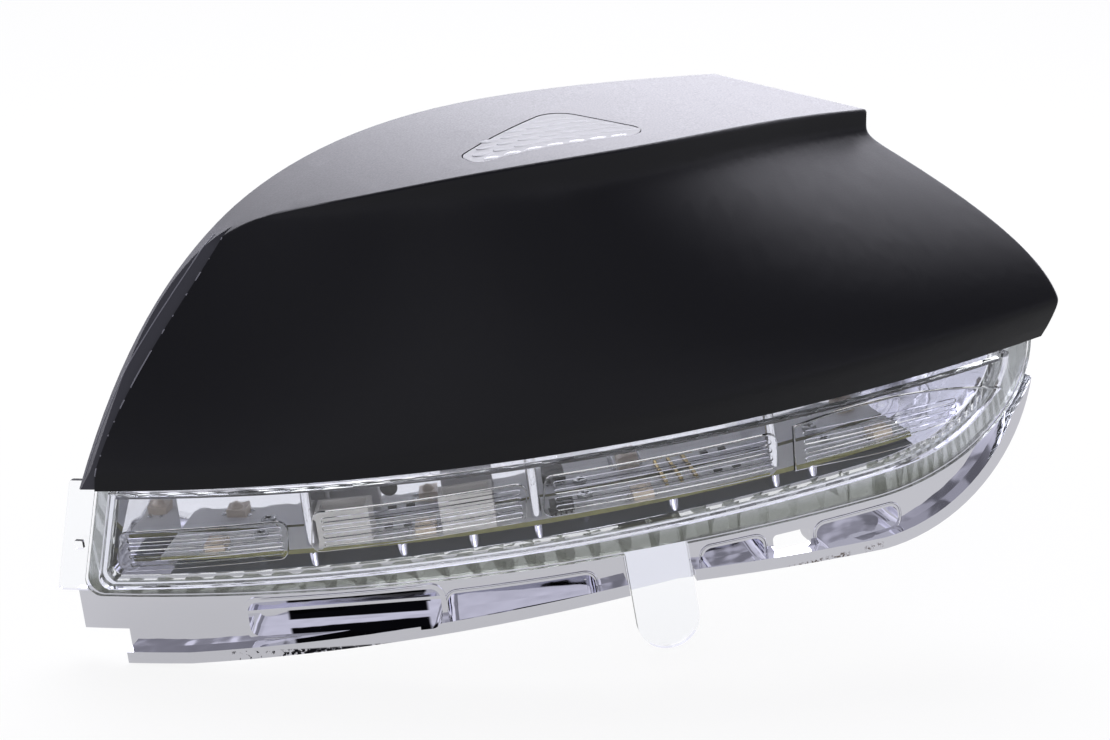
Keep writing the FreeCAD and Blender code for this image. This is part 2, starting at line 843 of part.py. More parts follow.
def skirt_form(setback_from, setback_to, shrink):
    """Outline of the housing's front: lens flange, skirt, left stub and swept right end."""
    joint = front_x(skirt_middle_place)
    end_x = front_x(end_centre_place)
    outline = [
        (-250, tray_top),
        (150, tray_top),
        (150, skirt_right_drop - shrink),
        (end_x, skirt_right_drop - shrink),
        (joint + 6, skirt_middle_drop - 0.8 - shrink),
        (joint - 6, skirt_middle_drop - shrink),
        (front_x(25), skirt_left_drop - shrink),
        (-250, skirt_left_drop - shrink),
    ]
    body = ring(setback_from, setback_to, tray_top, skirt_left_drop + 1).common(front_block(outline))
    body = body.cut(end_round(end_centre_place, skirt_end_width - shrink, skirt_right_drop - shrink))
    return body.cut(skirt_left(shrink))


def skirt_lip():
    """Lip that stands forward along the skirt's lower edge and round its right end."""
    back = tray_front + tray_wall
    lip = skirt_form(lip_relief, back, 0).cut(skirt_form(lip_relief - 1, back + 1, lip_width))
    low = ring(lip_relief - 2, back + 2, lens_height + 1, 80)
    swept = ring(lip_relief - 2, back + 2, 2, 80, left=end_centre_place + 25)
    lip = lip.common(low.fuse(swept)).cut(flange_form(lip_relief - 3, tray_front, -1.5))
    far, near = stub_left_place - 80, skirt_left_place + 2 * lip_width
    above = skirt_left_drop - lip_width
    corner = [(far, -40), (near, -40), (near, above), (far, above)]
    return lip.cut(block_at(skirt_left_place, corner, None, -30, 70))


def pockets():
    """Recessed windows in the skirt as (from, to, top left, bottom left, rise)."""
    return [
        (38.0, 85.5, 34.2, 43.2, 0.4),
        (88.0, 124.0, 35.8, 42.2, 0.2),
        (152.0, 167.5, 34.6, 40.4, 0.0),
        (182.0, 204.0, 35.2, 40.8, 0.0),
    ]


def pocket_rib():
    """Thin web along the upper part of the first pocket."""
    start, end, top, bottom, rise = pockets()[0]
    high, low = top + rib_drop, top + rib_drop + rib_height
    outline = [(start - 1, high), (end + 1, high - rise), (end + 1, low - rise), (start - 1, low)]
    return window(outline, [0.1] * 4, tray_front + rib_setback, tray_front + tray_wall + pocket_depth + 0.5)


def pocket_block(pocket, grow, setback_from, setback_to):
    start, end, top, bottom, rise = pocket
    outline = [(start - grow, top - grow), (end + grow, top - grow - rise),
               (end + grow, bottom + grow - rise), (start - grow, bottom + grow)]
    return window(outline, [pocket_corner + grow] * 4, setback_from, setback_to)


def board_slab(over, under):
    """The space that the circuit board fills, with room over and under it."""
    size = 600
    foot = V(-300, -250, -board_drop - board_thickness - under)
    return tilt_board(Part.makeBox(size, size, board_thickness + over + under, foot))


def tilt_board(shape):
    """Lean a flat shape on the strip frame's y axis to the board's own slope."""
    turned = shape.copy()
    turned.rotate(V(0, 0, 0), V(0, 1, 0), -board_tilt)
    return turned


def on_board(place, setback, rise=0.0):
    """Spot on the flat board at a place and setback, above its upper face."""
    return strip_point(arc_radius - setback, place, board_drop - rise)


def board_box(place, setback, size, rise=0.0):
    """Box (along, deep, high) centred on the board and square to the arc there."""
    along, deep, high = size
    spot = on_board(place, setback, rise)
    box = Part.makeBox(along, deep, high, V(spot.x - along / 2, spot.y - deep / 2, spot.z))
    box.rotate(spot, V(0, 0, 1), -angle_at(place))
    return box


def housing_posts(inner):
    """Posts that carry the circuit board, and the pillars between the optics."""
    made = []
    above = board_slab(60, seat_gap)
    around = board_slab(seat_gap, seat_gap)
    for place, setback in post_places + board_screw_places:
        foot = strip_point(arc_radius - setback, place, face_bottom_left + 2)
        post = Part.makeCylinder(post_radius, 20, foot)
        made.append(post.common(inner).cut(above))
    for place in pillar_places:
        half = pillar_width / 2
        outline = [(place - half, 0), (place + half, 0), (place + half, 30), (place - half, 30)]
        nose = strip_point(arc_radius - board_front - 1.5 - half, place, lens_height)
        pillar = window(outline, [0.2] * 4, board_front + 1.5 + half, tray_back)
        pillar = pillar.fuse(Part.makeCylinder(half, lens_height, nose))
        made.append(pillar.common(inner).cut(around))
    return made


def ahead_of_rear(y):
    """Everything in front of a flat rear plane of the tray, in the strip frame."""
    return Part.makeBox(700, 400, 400, V(-350, y - 400, -200))


def pin_like(place, setback, radius):
    """Upright hole below the board for one of its screws."""
    depth = board_screw_length + board_thickness
    return tilt_board(Part.makeCylinder(radius, depth, on_board(place, setback, -depth)))


def pin_boxes(grow):
    """Terminal pins lying on the board and running out through the tray's back wall."""
    boxes = []
    pitch = socket_width / (pin_count + 1)
    for index in range(pin_count):
        shift = (index - (pin_count - 1) / 2) * pitch
        long = socket_length + 8
        size = (pin_size + 2 * grow, long, pin_size + 2 * grow)
        boxes.append(board_box(socket_place + shift, tray_back + long / 2 - 9, size, -grow))
    return [tilt_board(box) for box in boxes]


def reflector_housing():
    """Metallised tray behind the lens with a skirt, lip, pockets, pillars and lugs."""
    front = tray_front
    tray_outer = face_form(front, tray_back, 0).common(ahead_of_rear(tray_rear_y))
    tray_inner = face_form(front - 1, tray_back - tray_wall, tray_wall)
    tray_inner = tray_inner.common(ahead_of_rear(tray_rear_y - tray_wall))
    body = skirt_form(front, front + tray_wall, 0).fuse(tray_outer)
    body = body.fuse(skirt_lip())
    for pocket in pockets():
        body = body.fuse(pocket_block(pocket, 1.3, front + 0.5, front + tray_wall + pocket_depth + 1.3))
    for place in lug_places:
        half = lug_width / 2
        top = -lug_drop - half
        outline = [(place - half, top), (place + half, top), (place + half, 2.5), (place - half, 2.5)]
        radii = [half - 0.1, half - 0.1, 0.2, 0.2]
        body = body.fuse(window(outline, radii, lug_setback, lug_setback + lug_thickness))
    body = body.cut(tray_inner)
    for piece in housing_posts(tray_inner):
        body = body.fuse(piece)
    cuts = [pocket_block(pocket, 0, front - 3, front + tray_wall + pocket_depth) for pocket in pockets()]
    through = [(through_from, through_top), (through_to, through_top)]
    through += [(through_to, through_bottom), (through_from, through_bottom)]
    cuts.append(window(through, [1.2] * 4, front - 3, front + 4))
    for place in lug_places:
        hole_radius = lamp_screw_radius + screw_play
        cuts.append(radial_pin(place, -lug_drop, hole_radius, lug_setback - 3, lug_setback + 8))
    vent_radius = breather_radius + seat_gap
    cuts.append(radial_pin(breather_place, breather_drop, vent_radius, tray_back - 3, tray_back + 3))
    cuts.append(tongue_block(tongue_play).common(ring(0, front, 20, tongue_bottom + 5)))
    cuts += pin_boxes(pin_play)
    for place, setback in board_screw_places:
        cuts.append(pin_like(place, setback, board_screw_radius + seat_gap))
    for cut in cuts:
        body = body.cut(cut)
    return biggest(clean(body.fuse(pocket_rib())))


def circuit_board():
    """Curved flat board with its screw holes."""
    back = tray_back - tray_wall - board_back_gap
    board = ring(board_front, back, board_drop, board_drop + board_thickness, board_from, board_to)
    for place, setback in board_screw_places:
        hole = Part.makeCylinder(board_screw_radius + screw_play, 10, on_board(place, setback, -5))
        board = board.cut(hole)
    return tilt_board(board)


def screw(head_radius, head_height, shank_radius, length):
    """Pan head screw whose shank points up, seated at the origin."""
    head = Part.makeCylinder(head_radius, head_height, V(0, 0, -head_height))
    head = head.makeFillet(head_height * 0.45, [head.Edges[2]])
    slot = Part.makeBox(head_radius * 1.3, 0.7, 0.9, V(-head_radius * 0.65, -0.35, -head_height))
    cross = Part.makeBox(0.7, head_radius * 1.3, 0.9, V(-0.35, -head_radius * 0.65, -head_height))
    shank = Part.makeCylinder(shank_radius, length, V(0, 0, 0))
    tip = Part.makeCone(shank_radius, shank_radius * 0.3, shank_radius, V(0, 0, length))
    return clean(head.fuse([shank, tip]).cut(slot).cut(cross))


def aim(shape, spot, direction):
    """Carry a screw from the origin to a seat with its shank along a direction."""
    moved = shape.copy()
    moved.Placement = FreeCAD.Placement(spot, FreeCAD.Rotation(V(0, 0, 1), direction))
    return moved


def lamp_screws():
    pieces = []
    for place in lug_places:
        inward = upright_frame(place)[1]
        seat = strip_point(arc_radius - lug_setback - lug_thickness, place, -lug_drop)
        length = lamp_screw_length - lamp_screw_radius
        one = screw(screw_head_radius, screw_head_height, lamp_screw_radius - 0.05, length)
        pieces.append(in_world(aim(one, seat, inward * -1)))
    return Part.makeCompound(pieces)


def board_screws():
    pieces = []
    for place, setback in board_screw_places:
        one = screw(2.2 * board_screw_radius, board_screw_radius, board_screw_radius, board_screw_length)
        pieces.append(in_world(tilt_board(aim(one, on_board(place, setback), V(0, 0, -1)))))
    return Part.makeCompound(pieces)


def led(place, setback=led_setback):
    """Surface mounted light source: a square package with a small dome."""
    package = board_box(place, setback, (led_width, led_width, led_height))
    top = on_board(place, setback, led_height - 0.6)
    dome = Part.makeSphere(led_lens_radius, top)
    return clean(package.fuse(dome.common(board_box(place, setback, (9, 9, 9)))))


def connector_block(place, setback):
    """White board connector with an open mouth on top."""
    block = board_box(place, setback, (block_width, block_depth, block_height))
    opening = (block_width - 2 * block_wall, block_depth - 2 * block_wall, block_height)
    mouth = board_box(place, setback, opening, block_floor)
    return block.cut(mouth)


def driver_chip():
    """Driver chip with four pairs of legs."""
    body = board_box(chip_place, chip_setback, (5.6, 5.0, 1.6), 0.2)
    legs = [board_box(chip_place + shift, chip_setback, (0.5, 7.0, 0.5)) for shift in (-2, -0.7, 0.7, 2)]
    return clean(body.fuse(legs))


def driver_resistors():
    size = (2.0, 1.2, 0.6)
    return Part.makeCompound([board_box(place, resistor_setback, size) for place in resistor_places])


def harness_socket():
    """Plug socket on the back of the tray with an open rear mouth."""
    pin_drop = board_drop - front_x(socket_place) * math.tan(math.radians(board_tilt)) - pin_size / 2
    half = socket_width / 2
    tall = socket_height / 2
    start = tray_back + seat_gap

    def block(shrink, begin, end):
        left, right = socket_place - half + shrink, socket_place + half - shrink
        top, bottom = pin_drop - tall + shrink, pin_drop + tall - shrink
        outline = [(left, top), (right, top), (right, bottom), (left, bottom)]
        return window(outline, [1.0] * 4, begin, end)

    back_face = ring(start, start + socket_length + 4, 0, 40)
    body = block(0, start - 2, start + socket_length).common(back_face)
    body = body.cut(block(socket_wall, start + socket_wall + 0.6, start + socket_length + 2))
    for pin in pin_boxes(pin_play):
        body = body.cut(pin)
    return biggest(body)


def breather_plug():
    cap = radial_pin(breather_place, breather_drop, 2 * breather_radius, tray_back - 1, tray_back + 2.5)
    stem = radial_pin(breather_place, breather_drop, breather_radius, tray_back - tray_wall, tray_back + 1)
    back_face = ring(tray_back + seat_gap, tray_back + 6, 0, 40)
    return biggest(clean(cap.common(back_face).fuse(stem)))


def puddle_lens():
    """Clear plug flush with the panel, on a flange that seats against its inner face."""
    plug = puddle_block(-puddle_gap, 0, 30).common(panel_layer(0.1, cover_wall + seat_gap + 0.5))
    flange = panel_layer(cover_wall + seat_gap, cover_wall + seat_gap + puddle_flange_thickness)
    return biggest(clean(plug.fuse(puddle_block(puddle_flange, 0, 30).common(flange))))


def puddle_gasket():
    band = puddle_block(puddle_flange, 0, 30).cut(puddle_block(puddle_flange - puddle_wall, -1, 31))
    upper = cover_wall + seat_gap + puddle_flange_thickness
    return biggest(band.common(panel_layer(upper, upper + puddle_seal)))


def puddle_housing():
    """Cup that hangs below the panel with two screw ears."""
    body = puddle_block(puddle_flange, puddle_floor, 30)
    for x, y in puddle_ears:
        foot = V(x, y, puddle_boss_z - puddle_ear_thickness - seat_gap)
        ear = Part.makeCylinder(puddle_ear_radius, puddle_ear_thickness, foot)
        body = body.fuse(ear)
    body = body.cut(puddle_block(puddle_flange - puddle_wall, puddle_floor + puddle_wall, 31))
    body = body.cut(rim_prism(-20, -60, 20).cut(rim_prism(puddle_rim_drop, -61, 21)))
    for x, y in puddle_ears:
        body = body.cut(Part.makeCylinder(lamp_screw_radius + screw_play, 8, V(x, y, puddle_boss_z - 5)))
    body = body.cut(puddle_pins_hole())
    return biggest(clean(body))


def puddle_pins_hole():
    return Part.makeBox(9, 2, 6, puddle_centre + V(-4.5, 4, puddle_floor - 2))


def puddle_reflector():
    """Bright bowl that opens from the light source up to the lens."""
    grow = puddle_flange - puddle_wall - 0.3
    low = puddle_board_z + board_thickness + seat_gap
    bowls = []
    for inset in (0, 1.0):
        top = puddle_outline(grow - inset)
        top.translate(V(0, 0, puddle_bowl_top))
        bottom = Part.Wire(Part.makeCircle(5.4 - inset, puddle_centre + V(0, 0, low)))
        bowls.append(Part.makeLoft([bottom, top], True, True))
    return biggest(bowls[0].cut(bowls[1]))


def puddle_board():
    grow = puddle_flange - puddle_wall - 0.3
    return puddle_block(grow, puddle_board_z, puddle_board_z + board_thickness)


def puddle_led():
    top = puddle_board_z + board_thickness
    box = Part.makeBox(3.6, 3.6, 1.4, puddle_centre + V(-1.8, -1.8, top))
    dome = Part.makeSphere(1.5, puddle_centre + V(0, 0, top + 1.0))
    above = Part.makeBox(9, 9, 9, puddle_centre + V(-4.5, -4.5, top + 0.5))
    return clean(box.fuse(dome.common(above)))


def puddle_screws():
    one = screw(2.6, 1.6, lamp_screw_radius - 0.05, puddle_screw_length - puddle_screw_play)
    z = puddle_boss_z - puddle_ear_thickness - seat_gap
    return Part.makeCompound([aim(one, V(x, y, z), V(0, 0, 1)) for x, y in puddle_ears])


def puddle_socket():
    """Small plug socket under the puddle cup, open downwards."""
    top = puddle_floor - seat_gap
    body = Part.makeBox(13, 8, 10, puddle_centre + V(-6.5, 1, top - 10))
    mouth = Part.makeBox(10.6, 5.6, 9, puddle_centre + V(-5.3, 2.2, top - 10.5))
    return body.cut(mouth).cut(puddle_pins_hole())


def puddle_pins():
    half = pin_size / 2
    feet = [puddle_centre + V(x - half, 5 - half, puddle_board_z - puddle_pin_length) for x in (-2.5, 2.5)]
    return Part.makeCompound([Part.makeBox(pin_size, pin_size, puddle_pin_length, foot) for foot in feet])


def build():
    os.makedirs("parts", exist_ok=True)
    save("cover_shell", cover_shell())
    save("indicator_lens", in_world(indicator_lens()))
    save("lens_weld_bead", in_world(glue_bead()))
    save("reflector_housing", in_world(reflector_housing()))
    save("circuit_board", in_world(circuit_board()))
    for index, place in enumerate(led_places):
        save("signal_led_" + str(index + 1), in_world(tilt_board(led(place))))
    save("side_led", in_world(tilt_board(led(side_led_place))))
    save("side_connector", in_world(tilt_board(connector_block(side_block_place, block_setback))))
    save("board_connector", in_world(tilt_board(connector_block(board_block_place, block_setback))))
    save("driver_chip", in_world(tilt_board(driver_chip())))
    save("driver_resistors", in_world(tilt_board(driver_resistors())))
    save("board_screws", board_screws())
    save("lamp_screws", lamp_screws())
    save("harness_socket", in_world(harness_socket()))
    save("terminal_pins", in_world(Part.makeCompound(pin_boxes(0))))
    save("breather_plug", in_world(breather_plug()))
    save("puddle_lens", puddle_lens())
    save("puddle_gasket", puddle_gasket())
    save("puddle_housing", puddle_housing())
    save("puddle_reflector", puddle_reflector())
    save("puddle_board", puddle_board())
    save("puddle_led", puddle_led())
    save("puddle_screws", puddle_screws())
    save("puddle_socket", puddle_socket())
    save("puddle_pins", puddle_pins())


if __name__ == "__main__":
    build()
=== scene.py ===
"""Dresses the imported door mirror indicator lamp: finishes, fine pieces, studio and camera.

Sizes are in millimetres and angles in degrees, unless a comment says otherwise. Blender itself
works in metres, so every size is multiplied by MM where it is used.
"""

import logging
import math
from dataclasses import dataclass
from enum import Enum
from typing import ClassVar

import bpy
from mathutils import Matrix, Vector
from mathutils.bvhtree import BVHTree


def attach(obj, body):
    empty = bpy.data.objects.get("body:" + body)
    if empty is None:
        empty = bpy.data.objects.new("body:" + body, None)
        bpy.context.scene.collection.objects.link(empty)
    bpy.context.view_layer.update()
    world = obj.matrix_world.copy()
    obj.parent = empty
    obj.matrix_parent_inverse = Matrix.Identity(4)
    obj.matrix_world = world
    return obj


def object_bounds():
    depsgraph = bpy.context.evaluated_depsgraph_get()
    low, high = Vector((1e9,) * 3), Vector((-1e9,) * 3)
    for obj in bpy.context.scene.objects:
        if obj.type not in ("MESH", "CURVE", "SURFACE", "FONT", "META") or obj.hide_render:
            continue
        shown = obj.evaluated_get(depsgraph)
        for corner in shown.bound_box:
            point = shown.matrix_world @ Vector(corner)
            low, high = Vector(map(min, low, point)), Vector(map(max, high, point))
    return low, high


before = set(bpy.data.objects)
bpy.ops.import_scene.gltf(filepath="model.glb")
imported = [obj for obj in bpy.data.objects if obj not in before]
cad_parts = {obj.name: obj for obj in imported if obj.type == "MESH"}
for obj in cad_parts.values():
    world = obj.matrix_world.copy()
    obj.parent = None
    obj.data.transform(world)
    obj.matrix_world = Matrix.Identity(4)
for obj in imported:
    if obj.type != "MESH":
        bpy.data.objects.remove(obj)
CAD_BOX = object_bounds()
LOG = logging.getLogger("indicator_lamp")
MM = 0.001

Tree = bpy.types.NodeTree
Node = bpy.types.Node
Socket = bpy.types.NodeSocket
Piece = bpy.types.Object
Span = tuple[float, float]


def linear(code: str) -> tuple[float, float, float, float]:
    """Turn an sRGB hex colour into linear values, with the standard's own constants.

    Args:
        code: Six hex digits with a leading hash.

    Returns:
        Red, green, blue and an alpha of one.
    """
    levels = [int(code[at:at + 2], 16) / 255 for at in (1, 3, 5)]
    red, green, blue = [level / 12.92 if level <= 0.04045 else ((level + 0.055) / 1.055) ** 2.4
                        for level in levels]
    return red, green, blue, 1.0


def per_mm(size: float) -> float:
    """Return the texture scale at which one pattern cell is a size in millimetres."""
    return 1.0 / (size * MM)


def add_node(tree: Tree, kind: str, settings: dict | None = None,
             links: dict | None = None) -> Node:
    """Add a node to a tree, with its settings and its links.

    Args:
        tree: The tree that gets the node.
        kind: The node's type name.
        settings: Properties by name, and plain socket values by name or number.
        links: Output sockets by the name or number of the input that they feed.

    Returns:
        The new node.
    """
    node = tree.nodes.new(kind)
    for key, value in (settings or {}).items():
        if isinstance(key, str) and key in node.bl_rna.properties:
            setattr(node, key, value)
        else:
            node.inputs[key].default_value = value
    for key, source in (links or {}).items():
        tree.links.new(source, node.inputs[key])
    return node


def new_tree(name: str, sizes: dict[str, str]) -> tuple[Tree, Node]:
    """Start a Geometry Nodes tree with a geometry in and out, and named inputs.

    Args:
        name: The tree's name.
        sizes: Socket type by input name.

    Returns:
        The tree and its group input.
    """
    tree = bpy.data.node_groups.new(name, "GeometryNodeTree")
    for label, kind in {"Geometry": "NodeSocketGeometry", **sizes}.items():
        tree.interface.new_socket(label, in_out="INPUT", socket_type=kind)
    tree.interface.new_socket("Geometry", in_out="OUTPUT", socket_type="NodeSocketGeometry")
    return tree, add_node(tree, "NodeGroupInput")


def use_tree(piece: Piece, label: str, tree: Tree, values: dict[str, object]) -> None:
    """Give a piece a Geometry Nodes modifier, whose inputs are set by their identifiers.

    Args:
        piece: The piece that gets the modifier.
        label: The modifier's name.
        tree: The tree that it runs.
        values: Values by input name.
    """
    modifier = piece.modifiers.new(label, "NODES")
    modifier.node_group = tree
    sockets = {item.name: item.identifier for item in tree.interface.items_tree
               if item.in_out == "INPUT"}
    for name, value in values.items():
        modifier[sockets[name]] = value


def faces_of(node: str) -> BVHTree:
    """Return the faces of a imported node, ready for ray casts."""
    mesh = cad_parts[node].data
    return BVHTree.FromPolygons([corner.co for corner in mesh.vertices],
                                [face.vertices for face in mesh.polygons])


@dataclass(frozen=True)
class Masks:
    """Masks from 0 to 1 inside one tree."""

    tree: Tree

    def rise(self, value: Socket, start: float, end: float) -> Socket:
        """Mask with one soft edge, which falls where the start lies past the end.

        Args:
            value: The socket to read.
            start: Where the mask is 0.
            end: Where the mask is 1.

        Returns:
            The mask.
        """
        return add_node(self.tree, "ShaderNodeMapRange",
                        {"interpolation_type": "SMOOTHSTEP", "From Min": start, "From Max": end},
                        {"Value": value}).outputs[0]

    def between(self, value: Socket, low: float, high: float, soft: float) -> Socket:
        """Mask that is 1 between two limits.

        Args:
            value: The socket to read.
            low: Lower limit.
            high: Upper limit.
            soft: Half the width of each soft edge.

        Returns:
            The mask.
        """
        return self.every(self.rise(value, low - soft, low + soft),
                          self.rise(value, high + soft, high - soft))

    def chain(self, operation: str, *values: Socket) -> Socket:
        """Chain sockets with one operation.

        Args:
            operation: The operation's name, such as ADD.
            values: The sockets to chain.

        Returns:
            The last result.
        """
        result = values[0]
        for value in values[1:]:
            result = add_node(self.tree, "ShaderNodeMath", {"operation": operation},
                              {0: result, 1: value}).outputs[0]
        return result

    def every(self, *masks: Socket) -> Socket:
        """Mask that shows where all the given ones do."""
        return self.chain("MULTIPLY", *masks)

    def either(self, *masks: Socket) -> Socket:
        """Mask that shows where any of the given ones does."""
        return self.chain("MAXIMUM", *masks)


@dataclass(frozen=True)
class LampSockets:
    """The lamp's own coordinates inside a material, and the Object coordinates they come from."""

    where: Socket
    place: Socket
    setback: Socket
    drop: Socket


@dataclass(frozen=True)
class Strip:
    """The lamp strip's own frame: a band on a vertical arc, tilted with the cover's lower edge."""

    tilt: float = 8.0
    drop: float = 53.0
    centre_x: float = 114.5
    centre_y: float = 203.5
    radius: float = 290.5
    left_angle: float = 49.4

    def angle(self, place: float) -> float:
        """Angle in radians round the arc at a distance along the lamp."""
        return math.radians(self.left_angle) - place / self.radius

    def point(self, place: float, setback: float, drop: float) -> Vector:
        """Point of the part's frame at a place, setback and drop of the lamp.

        Args:
            place: Distance along the lamp from its left end.
            setback: Distance behind the lens face.
            drop: Distance below the lamp's top edge.

        Returns:
            The point in metres.
        """
        turn = self.angle(place)
        reach = self.radius - setback
        spot = Vector((self.centre_x - reach * math.sin(turn),
                       self.centre_y - reach * math.cos(turn), -drop))
        lean = Matrix.Rotation(math.radians(-self.tilt), 4, "Y")
        return (Matrix.Translation((0, 0, -self.drop)) @ lean @ spot) * MM

    def sockets(self, tree: Tree, where: Socket) -> LampSockets:
        """Work out the lamp's own coordinates inside a material, in millimetres.

        Args:
            tree: The material's tree.
            where: Object coordinates, in metres.

        Returns:
            The place, the setback and the drop.
        """
        turn = math.radians(self.tilt)
        lifted = add_node(tree, "ShaderNodeVectorMath",
                          {"operation": "ADD", 1: (0, 0, self.drop * MM)}, {0: where}).outputs[0]
        rows = {"x": ((-math.cos(turn), 0, -math.sin(turn)), self.centre_x),
                "y": ((0, -1, 0), self.centre_y),
                "down": ((math.sin(turn), 0, -math.cos(turn)), 0.0)}
        found = {}
        for name, (axis, start) in rows.items():
            dot = add_node(tree, "ShaderNodeVectorMath",
                           {"operation": "DOT_PRODUCT", 1: tuple(part / MM for part in axis)},
                           {0: lifted})
            found[name] = add_node(tree, "ShaderNodeMath", {"operation": "ADD", 1: start},
                                   {0: dot.outputs["Value"]}).outputs[0]
        angle = add_node(tree, "ShaderNodeMath", {"operation": "ARCTAN2"},
                         {0: found["x"], 1: found["y"]})
        place = add_node(tree, "ShaderNodeMath",
                         {"operation": "MULTIPLY_ADD", 1: -self.radius,
                          2: math.radians(self.left_angle) * self.radius}, {0: angle.outputs[0]})
        flat = add_node(tree, "ShaderNodeCombineXYZ", {}, {0: found["x"], 1: found["y"]})
        reach = add_node(tree, "ShaderNodeVectorMath", {"operation": "LENGTH"},
                         {0: flat.outputs[0]})
        setback = add_node(tree, "ShaderNodeMath", {"operation": "SUBTRACT", 0: self.radius},
                           {1: reach.outputs["Value"]})
        return LampSockets(where, place.outputs[0], setback.outputs[0], found["down"])


@dataclass(frozen=True)
class RimBand:
    """Set-back band down the cover's left rim, which starts where the front face ends."""

    front: float = 5.3
    slant: float = 2.5
    top: float = 3.5
    height: float = 64.2

    def across(self, depth: float) -> float:
        """Place of the band's front edge along Y, at a depth below the part's origin."""
        share = (depth - self.top) / self.height
        return self.front + self.slant * share


class Slot(Enum):
    """Material slots of the record, and three finishes for pieces that only the scene has."""

    COVER = "grained_plastic"
    LENS = "clear_lens"
    BEAD = "weld_bead"
    CHROME = "metallised_plastic"
    BOARD = "circuit_board"
    LIGHT = "light_source"
    WHITE = "white_plastic"
    CHIP = "chip_black"
    SCREW = "screw_steel"
    PLAIN = "plain_black_plastic"
    PIN = "pin_metal"
    VENT = "breather_cloth"
    PUDDLE = "puddle_clear"
    SEAL = "seal_rubber"
    FACET = "lit_facets"
    # Painted highlight for the thin raised lines on the cover's rim.
    EDGE = "painted_edge_highlight"
    SOLDER = "solder"


@dataclass(frozen=True)
class Finish:
    """A surface finish with one Principled shader, in one even colour."""

    name: str
    colour: str
    roughness: float = 0.5
    metallic: float = 0.0
    specular: float = 0.5
    ior: float = 1.5

    def start(self) -> tuple[bpy.types.Material, Tree, Node, Socket]:
        """Make the material with its shader and coordinates.

        Returns:
            The material, its tree, the shader and the Object coordinates.
        """
        material = bpy.data.materials.new(self.name)
        material.use_nodes = True
        tree = material.node_tree
        shader = tree.nodes["Principled BSDF"]
        for name, value in (("Base Color", linear(self.colour)), ("Roughness", self.roughness),
                            ("Metallic", self.metallic), ("Specular IOR Level", self.specular),
                            ("IOR", self.ior)):
            shader.inputs[name].default_value = value
        return material, tree, shader, add_node(tree, "ShaderNodeTexCoord").outputs["Object"]

    def mottle(self, tree: Tree, where: Socket, other: str, cell: float) -> Socket:
        """Vary the base colour softly between the finish's own colour and another.

        Args:
            tree: The material's tree.
            where: The coordinates to read.
            other: The second colour.
            cell: Size of the patches.

        Returns:
            The mixed colour.
        """
        noise = add_node(tree, "ShaderNodeTexNoise", {"Scale": per_mm(cell), "Detail": 4.0},
                         {"Vector": where})
        return add_node(tree, "ShaderNodeMix",
                        {"data_type": "RGBA", 6: linear(self.colour), 7: linear(other)},
                        {0: noise.outputs["Fac"]}).outputs[2]

    def layers(self, tree: Tree, base: Socket | None, *coats: tuple[Socket, str]) -> Socket:
        """Lay other colours over a base, each where its mask says so.

        Args:
            tree: The material's tree.
            base: The colour below, or nothing for the finish's own.
            coats: Mask and colour of each coat, from the lowest up.

        Returns:
            The mixed colour.
        """
        for mask, colour in coats:
            settings = {"data_type": "RGBA", 6: linear(self.colour), 7: linear(colour)}
            links = {0: mask} if base is None else {0: mask, 6: base}
            base = add_node(tree, "ShaderNodeMix", settings, links).outputs[2]
        return base

    def relief(self, tree: Tree, shader: Node, height: Socket, depth: float,
               share: float = 1.0) -> None:
        """Raise the surface by a height pattern.

        Args:
            tree: The material's tree.
            shader: Its Principled shader.
            height: The pattern, from 0 to 1.
            depth: Full height of the pattern.
            share: Share of the relief that shows.
        """
        bump = add_node(tree, "ShaderNodeBump", {"Strength": share, "Distance": depth * MM},
                        {"Height": height})
        tree.links.new(bump.outputs["Normal"], shader.inputs["Normal"])

    def build(self) -> bpy.types.Material:
        """Make the material in its one even colour."""
        return self.start()[0]


